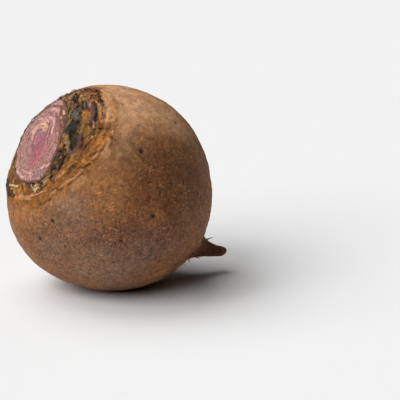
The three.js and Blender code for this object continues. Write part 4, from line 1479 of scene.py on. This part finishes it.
def add_leaf_bases():
    """Torn bases of the leaf stalks: bowed flakes in tufts and along the rim. A flake is a flattened oval of
    two parameters, w across and v from root to tip, bent round the crown and leaning outwards."""
    rng = np.random.default_rng(7)
    theta, phi, tints = tuft_places(rng, 3, 46)
    count = len(phi)
    width = rng.uniform(1.2, 3.4, count) * (0.5 + 0.5 * wideness(phi))
    length = rng.uniform(0.7, 1.8, count) * (0.7 + 0.3 * wideness(phi))
    thick = rng.uniform(0.2, 0.42, count)
    lean = rng.uniform(-0.45, 0.3, count)
    turn = rng.normal(0, 0.6, count)

    angle = np.arange(12) * TURN / 12
    v = np.linspace(0, 1, 7)
    root = on_skin(theta, phi, -0.5)
    out = outward(theta, phi)
    side = np.stack([-np.sin(phi), np.cos(phi), 0 * phi], -1)
    away = np.cross(side, out)
    side, away = (
        side * np.cos(turn)[:, None] + away * np.sin(turn)[:, None],
        away * np.cos(turn)[:, None] - side * np.sin(turn)[:, None],
    )
    up = out * np.sin(0.5 + lean)[:, None] + away * np.cos(0.5 + lean)[:, None]
    face = np.cross(side, up)
    width, length, thick, lean = (value[:, None, None] for value in (width, length, thick, lean))
    start = rng.uniform(0, TURN, count)[:, None, None]
    v, angle = v[None, :, None], angle[None, None, :]
    w = np.cos(angle) * np.sin(np.pi * (0.18 + 0.74 * v)) ** 0.7
    ragged = 1 + 0.3 * np.sin(5 * angle + start) * v
    upward = length * v * ragged - 0.35 * length * w**2 * v
    bowed = 0.22 * width * (1 - w**2) + 0.4 * length * v**2 * lean
    depth = thick * np.sin(angle) * (1 - 0.6 * v)
    points = (
        root[:, None, None]
        + side[:, None, None] * (0.5 * width * w)[..., None]
        + up[:, None, None] * upward[..., None]
        + face[:, None, None] * (depth - bowed)[..., None]
    )
    points = trimmed_by_knife(points, 0.7 + 0.3 * wideness(phi)[:, None, None] ** 3)
    steps, sides = v.size, angle.size
    ends = points[:, [0, -1]].mean(2)
    vertices = np.concatenate([ends[:, :1], points.reshape(count, steps * sides, 3), ends[:, 1:]], 1)
    faces = repeated_faces(count, vertices.shape[1], steps, sides)
    return add_dry_piece("leaf_bases", placed(vertices), faces, tints)


def add_crown_shreds():
    """Papery shreds and fibres of old stalk: flat tubes that start on the skin, run mostly round the crown
    and curl up."""
    rng = np.random.default_rng(19)
    theta, phi, tints = tuft_places(rng, 4, 60)
    count = len(phi)
    heading = rng.normal(0, 0.6, count) + np.pi * rng.integers(0, 2, count)
    length = rng.uniform(1.5, 6.0, count)
    s = np.linspace(0, 1, 8)
    bend = rng.normal(0, 0.9, count)
    angle = heading[:, None] + bend[:, None] * s[None, :]
    step = length[:, None] / (len(s) - 1)
    round_way = np.cumsum(np.cos(angle) * step, 1)
    down_way = np.cumsum(np.sin(angle) * step, 1)
    path_theta = np.maximum(theta[:, None] + np.degrees(down_way / BODY_RADIUS), CROWN_EDGE_DEG + 0.1)
    path_phi = phi[:, None] + round_way / (BODY_RADIUS * np.sin(np.radians(theta)))[:, None]
    low = (0.35 + 0.65 * wideness(phi))[:, None]
    lift = -0.1 + low * rng.uniform(0.3, 1.3, count)[:, None] * np.sin(np.pi * s[None, :]) ** 1.5
    lift = lift + 0.5 * low * rng.uniform(0, 1, count)[:, None] * s[None, :] ** 2
    paths = trimmed_by_knife(on_skin(path_theta, path_phi, lift), 0.2 + wideness(path_phi))
    radii = rng.uniform(0.12, 0.36, count)[:, None] * (1 - 0.75 * s[None, :] ** 2)
    vertices, faces = many_tubes(paths, radii, rng.uniform(0.3, 0.8, count))
    return add_dry_piece("crown_shreds", placed(vertices), faces, tints)


def add_rootlets():
    """Side rootlets and hair roots: tapering tubes that leave the tail and the furrows, and bend to the tip.
    A stout one is given by its degrees from the crown, its degrees from the furrow and its length in mm."""
    rng = np.random.default_rng(31)
    stout = ((152, 0, 5), (161, 180, 6), (166, 0, 7), (171, 180, 7), (174, 69, 6), (175.5, -92, 5))
    stout = np.array(stout, float)
    hairs = 46
    theta = np.concatenate([stout[:, 0], rng.uniform(138, 177, hairs)])
    hair_turn = np.pi * rng.integers(0, 2, hairs) + rng.normal(0, 0.35, hairs)
    turn = np.concatenate([np.radians(stout[:, 1]), hair_turn])
    length = np.concatenate([stout[:, 2], rng.uniform(1.5, 5.0, hairs)])
    radius = np.concatenate([np.full(len(stout), 0.5), rng.uniform(0.08, 0.2, hairs)])
    phi = FURROW_SIDE + turn
    s = np.linspace(0, 1, 9)
    root = on_skin(theta, phi, 0.0)
    ahead = on_skin(np.minimum(theta + 0.4, 179.5), phi, 0.0) - root
    ahead = ahead / np.linalg.norm(ahead, axis=-1, keepdims=True)
    side = np.stack([-np.sin(phi), np.cos(phi), 0 * phi], -1)
    out = np.cross(ahead, side)
    sway = rng.normal(0, 0.35, len(theta))
    reach = length[:, None] * s[None, :]
    paths = (
        root[:, None]
        + out[:, None] * (reach * (1 - 0.35 * s[None, :]) - 0.8)[..., None]
        + ahead[:, None] * (0.4 * reach * s[None, :])[..., None]
        + side[:, None] * (sway[:, None] * reach * s[None, :])[..., None]
    )
    radii = radius[:, None] * (1 - 0.85 * s[None, :])
    vertices, faces = many_tubes(paths, radii, np.ones(len(theta)))
    tints = np.array(linear(128, 92, 62)[:3]) * rng.uniform(0.7, 1.2, (len(theta), 1))
    row = placed(vertices)
    row[..., 2] = np.maximum(row[..., 2], 0.1 * MM)
    return add_dry_piece("rootlets", row, faces, tints)


# The add-on's settings and operators


class BEETROOT_PG_looks(bpy.types.PropertyGroup):
    """Colours that tell one beetroot from the next."""

    def colour(label, about, red, green, blue):
        return bpy.props.FloatVectorProperty(
            name=label,
            description=about,
            default=linear(red, green, blue),
            subtype="COLOR",
            size=4,
            min=0,
            max=1,
        )

    tan: colour("Tan", "Dry skin where it is cleanest", 206, 158, 116)
    umber: colour("Umber", "Skin that still holds a little soil", 136, 90, 56)
    orange: colour("Orange", "Corky patches", 172, 112, 60)
    mauve: colour("Mauve", "Patches where the red flesh shows through", 132, 104, 88)
    flesh: colour("Flesh", "Pink of the cut face", 130, 80, 82)


class BEETROOT_PG_studio(bpy.types.PropertyGroup):
    """The camera and the light."""

    azimuth: bpy.props.FloatProperty(
        name="Azimuth",
        description="Turn of the camera round the root",
        default=VIEW_AZIMUTH,
        subtype="ANGLE",
    )
    elevation: bpy.props.FloatProperty(
        name="Elevation",
        description="Height of the camera above the floor",
        default=VIEW_ELEVATION,
        subtype="ANGLE",
    )
    distance: bpy.props.FloatProperty(
        name="Distance",
        description="From the camera to the root",
        default=VIEW_DISTANCE * MM,
        unit="LENGTH",
        min=0.2,
    )
    lens: bpy.props.FloatProperty(name="Lens", description="Focal length in mm", default=LENS, min=20)
    light: bpy.props.FloatProperty(name="Light", description="Strength of all the lamps", default=1.0, min=0)


def finish_piece(piece):
    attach(piece, "root")
    return piece


class BEETROOT_OT_root_skin(bpy.types.Operator):
    """Build the root's skin, from under the cut face to the tip of the tail"""

    bl_idname = "beetroot.root_skin"
    bl_label = "Root skin"

    def execute(self, context):
        piece = finish_piece(add_root_skin(context.scene.beetroot_looks))
        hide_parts("beetroot")
        return {"FINISHED"}


class BEETROOT_OT_crown_cut(bpy.types.Operator):
    """Build the ringed face where the leaves were cut off"""

    bl_idname = "beetroot.crown_cut"
    bl_label = "Cut face"

    def execute(self, context):
        finish_piece(add_crown_cut(context.scene.beetroot_looks))
        return {"FINISHED"}


class BEETROOT_OT_leaf_bases(bpy.types.Operator):
    """Build the torn bases of the leaf stalks round the cut"""

    bl_idname = "beetroot.leaf_bases"
    bl_label = "Leaf bases"

    def execute(self, context):
        finish_piece(add_leaf_bases())
        return {"FINISHED"}


class BEETROOT_OT_crown_shreds(bpy.types.Operator):
    """Build the papery shreds and fibres of old stalk"""

    bl_idname = "beetroot.crown_shreds"
    bl_label = "Shreds"

    def execute(self, context):
        finish_piece(add_crown_shreds())
        return {"FINISHED"}


class BEETROOT_OT_rootlets(bpy.types.Operator):
    """Build the rootlets and hair roots on the tail and the furrows"""

    bl_idname = "beetroot.rootlets"
    bl_label = "Rootlets"

    def execute(self, context):
        finish_piece(add_rootlets())
        return {"FINISHED"}


class BEETROOT_OT_studio(bpy.types.Operator):
    """Lay the floor, light it softly from above and set up the camera"""

    bl_idname = "beetroot.studio"
    bl_label = "Studio"

    def execute(self, context):
        build_studio(context.scene, context.scene.beetroot_studio)
        return {"FINISHED"}


BACKDROP = 0.887  # linear grey of the paper behind the root
FLOOR_ALBEDO = 0.8
# Broad soft lamps: name, how far each lies to the camera's right, beyond the root and up, and its strength.
LAMPS = (
    ("front_left", -0.557, -0.557, 0.616, 2.25),
    ("high_left", -0.643, 0.0, 0.766, 1.21),
    ("top", -0.299, 0.299, 0.906, 1.18),
    ("behind_right", 0.557, 0.557, 0.616, 0.17),
)


def build_studio(scene, studio):
    """A wide pale floor, four broad suns, a pale backdrop, and the camera aimed beside the root."""
    half = 4.0
    corners = np.array([(-half, -half, 0), (half, -half, 0), (half, half, 0), (-half, half, 0)])
    floor = mesh_object("floor", corners, [np.array([[0, 1, 2, 3]])])
    material, tree = new_material("pale_floor")
    grey = (FLOOR_ALBEDO, FLOOR_ALBEDO, FLOOR_ALBEDO, 1)
    shader = add_node(tree, "ShaderNodeBsdfDiffuse", {"Color": grey})
    add_node(tree, "ShaderNodeOutputMaterial", {"Surface": shader.outputs["BSDF"]})
    floor.data.materials.append(material)

    world = bpy.data.worlds.new("studio")
    world.use_nodes = True
    tree = world.node_tree
    tree.nodes.clear()
    seen = add_node(tree, "ShaderNodeBackground", {"Color": (1, 1, 1, 1), "Strength": BACKDROP})
    path = add_node(tree, "ShaderNodeLightPath")
    both = add_node(tree, "ShaderNodeMixShader", {0: path.outputs["Is Camera Ray"], 2: seen.outputs[0]})
    add_node(tree, "ShaderNodeOutputWorld", {"Surface": both.outputs[0]})
    scene.world = world

    right, up, back = (Vector(axis) for axis in view_axes(studio.azimuth, studio.elevation))
    ahead = Vector((0, 0, 1)).cross(right)
    for name, to_right, to_back, to_up, strength in LAMPS:
        lamp = bpy.data.lights.new(name, "SUN")
        lamp.energy = strength * studio.light
        lamp.angle = np.radians(45)
        holder = bpy.data.objects.new(name, lamp)
        towards = right * to_right + ahead * to_back + Vector((0, 0, to_up))
        holder.rotation_euler = towards.to_track_quat("Z", "Y").to_euler()
        holder.location = towards
        scene.collection.objects.link(holder)

    camera = bpy.data.cameras.new("camera")
    camera.lens = studio.lens
    camera.sensor_width = SENSOR
    camera.clip_start, camera.clip_end = 0.01, 50
    holder = bpy.data.objects.new("camera", camera)
    target = Vector(BODY_MIDDLE * MM) + right * (AIM_RIGHT * MM) - up * (AIM_DOWN * MM)
    holder.location = target + back * studio.distance
    holder.rotation_euler = back.to_track_quat("Z", "Y").to_euler()
    scene.collection.objects.link(holder)
    scene.camera = holder
    scene.view_settings.view_transform = "Standard"
    scene.view_settings.look = "None"
    scene.view_settings.exposure = 0.0
    scene.view_settings.gamma = 1.0


OPERATORS = (
    BEETROOT_OT_root_skin,
    BEETROOT_OT_crown_cut,
    BEETROOT_OT_leaf_bases,
    BEETROOT_OT_crown_shreds,
    BEETROOT_OT_rootlets,
    BEETROOT_OT_studio,
)


class BEETROOT_PT_panel(bpy.types.Panel):
    """Lists the pieces of the beetroot and its settings"""

    bl_idname = "BEETROOT_PT_panel"
    bl_label = "Beetroot"
    bl_space_type = "VIEW_3D"
    bl_region_type = "UI"
    bl_category = "Beetroot"

    def draw(self, context):
        for settings in (context.scene.beetroot_looks, context.scene.beetroot_studio):
            box = self.layout.box()
            for name in settings.bl_rna.properties.keys():
                if name not in ("rna_type", "name"):
                    box.prop(settings, name)
        for operator in OPERATORS:
            self.layout.operator(operator.bl_idname)


CLASSES = (BEETROOT_PG_looks, BEETROOT_PG_studio, *OPERATORS, BEETROOT_PT_panel)


def register():
    for cls in CLASSES:
        bpy.utils.register_class(cls)
    bpy.types.Scene.beetroot_looks = bpy.props.PointerProperty(type=BEETROOT_PG_looks)
    bpy.types.Scene.beetroot_studio = bpy.props.PointerProperty(type=BEETROOT_PG_studio)


def unregister():
    del bpy.types.Scene.beetroot_studio
    del bpy.types.Scene.beetroot_looks
    for cls in reversed(CLASSES):
        bpy.utils.unregister_class(cls)


def main():
    register()
    bpy.ops.beetroot.studio()
    bpy.ops.beetroot.root_skin()
    bpy.ops.beetroot.crown_cut()
    bpy.ops.beetroot.leaf_bases()
    bpy.ops.beetroot.crown_shreds()
    bpy.ops.beetroot.rootlets()


if __name__ == "__main__":
    main()
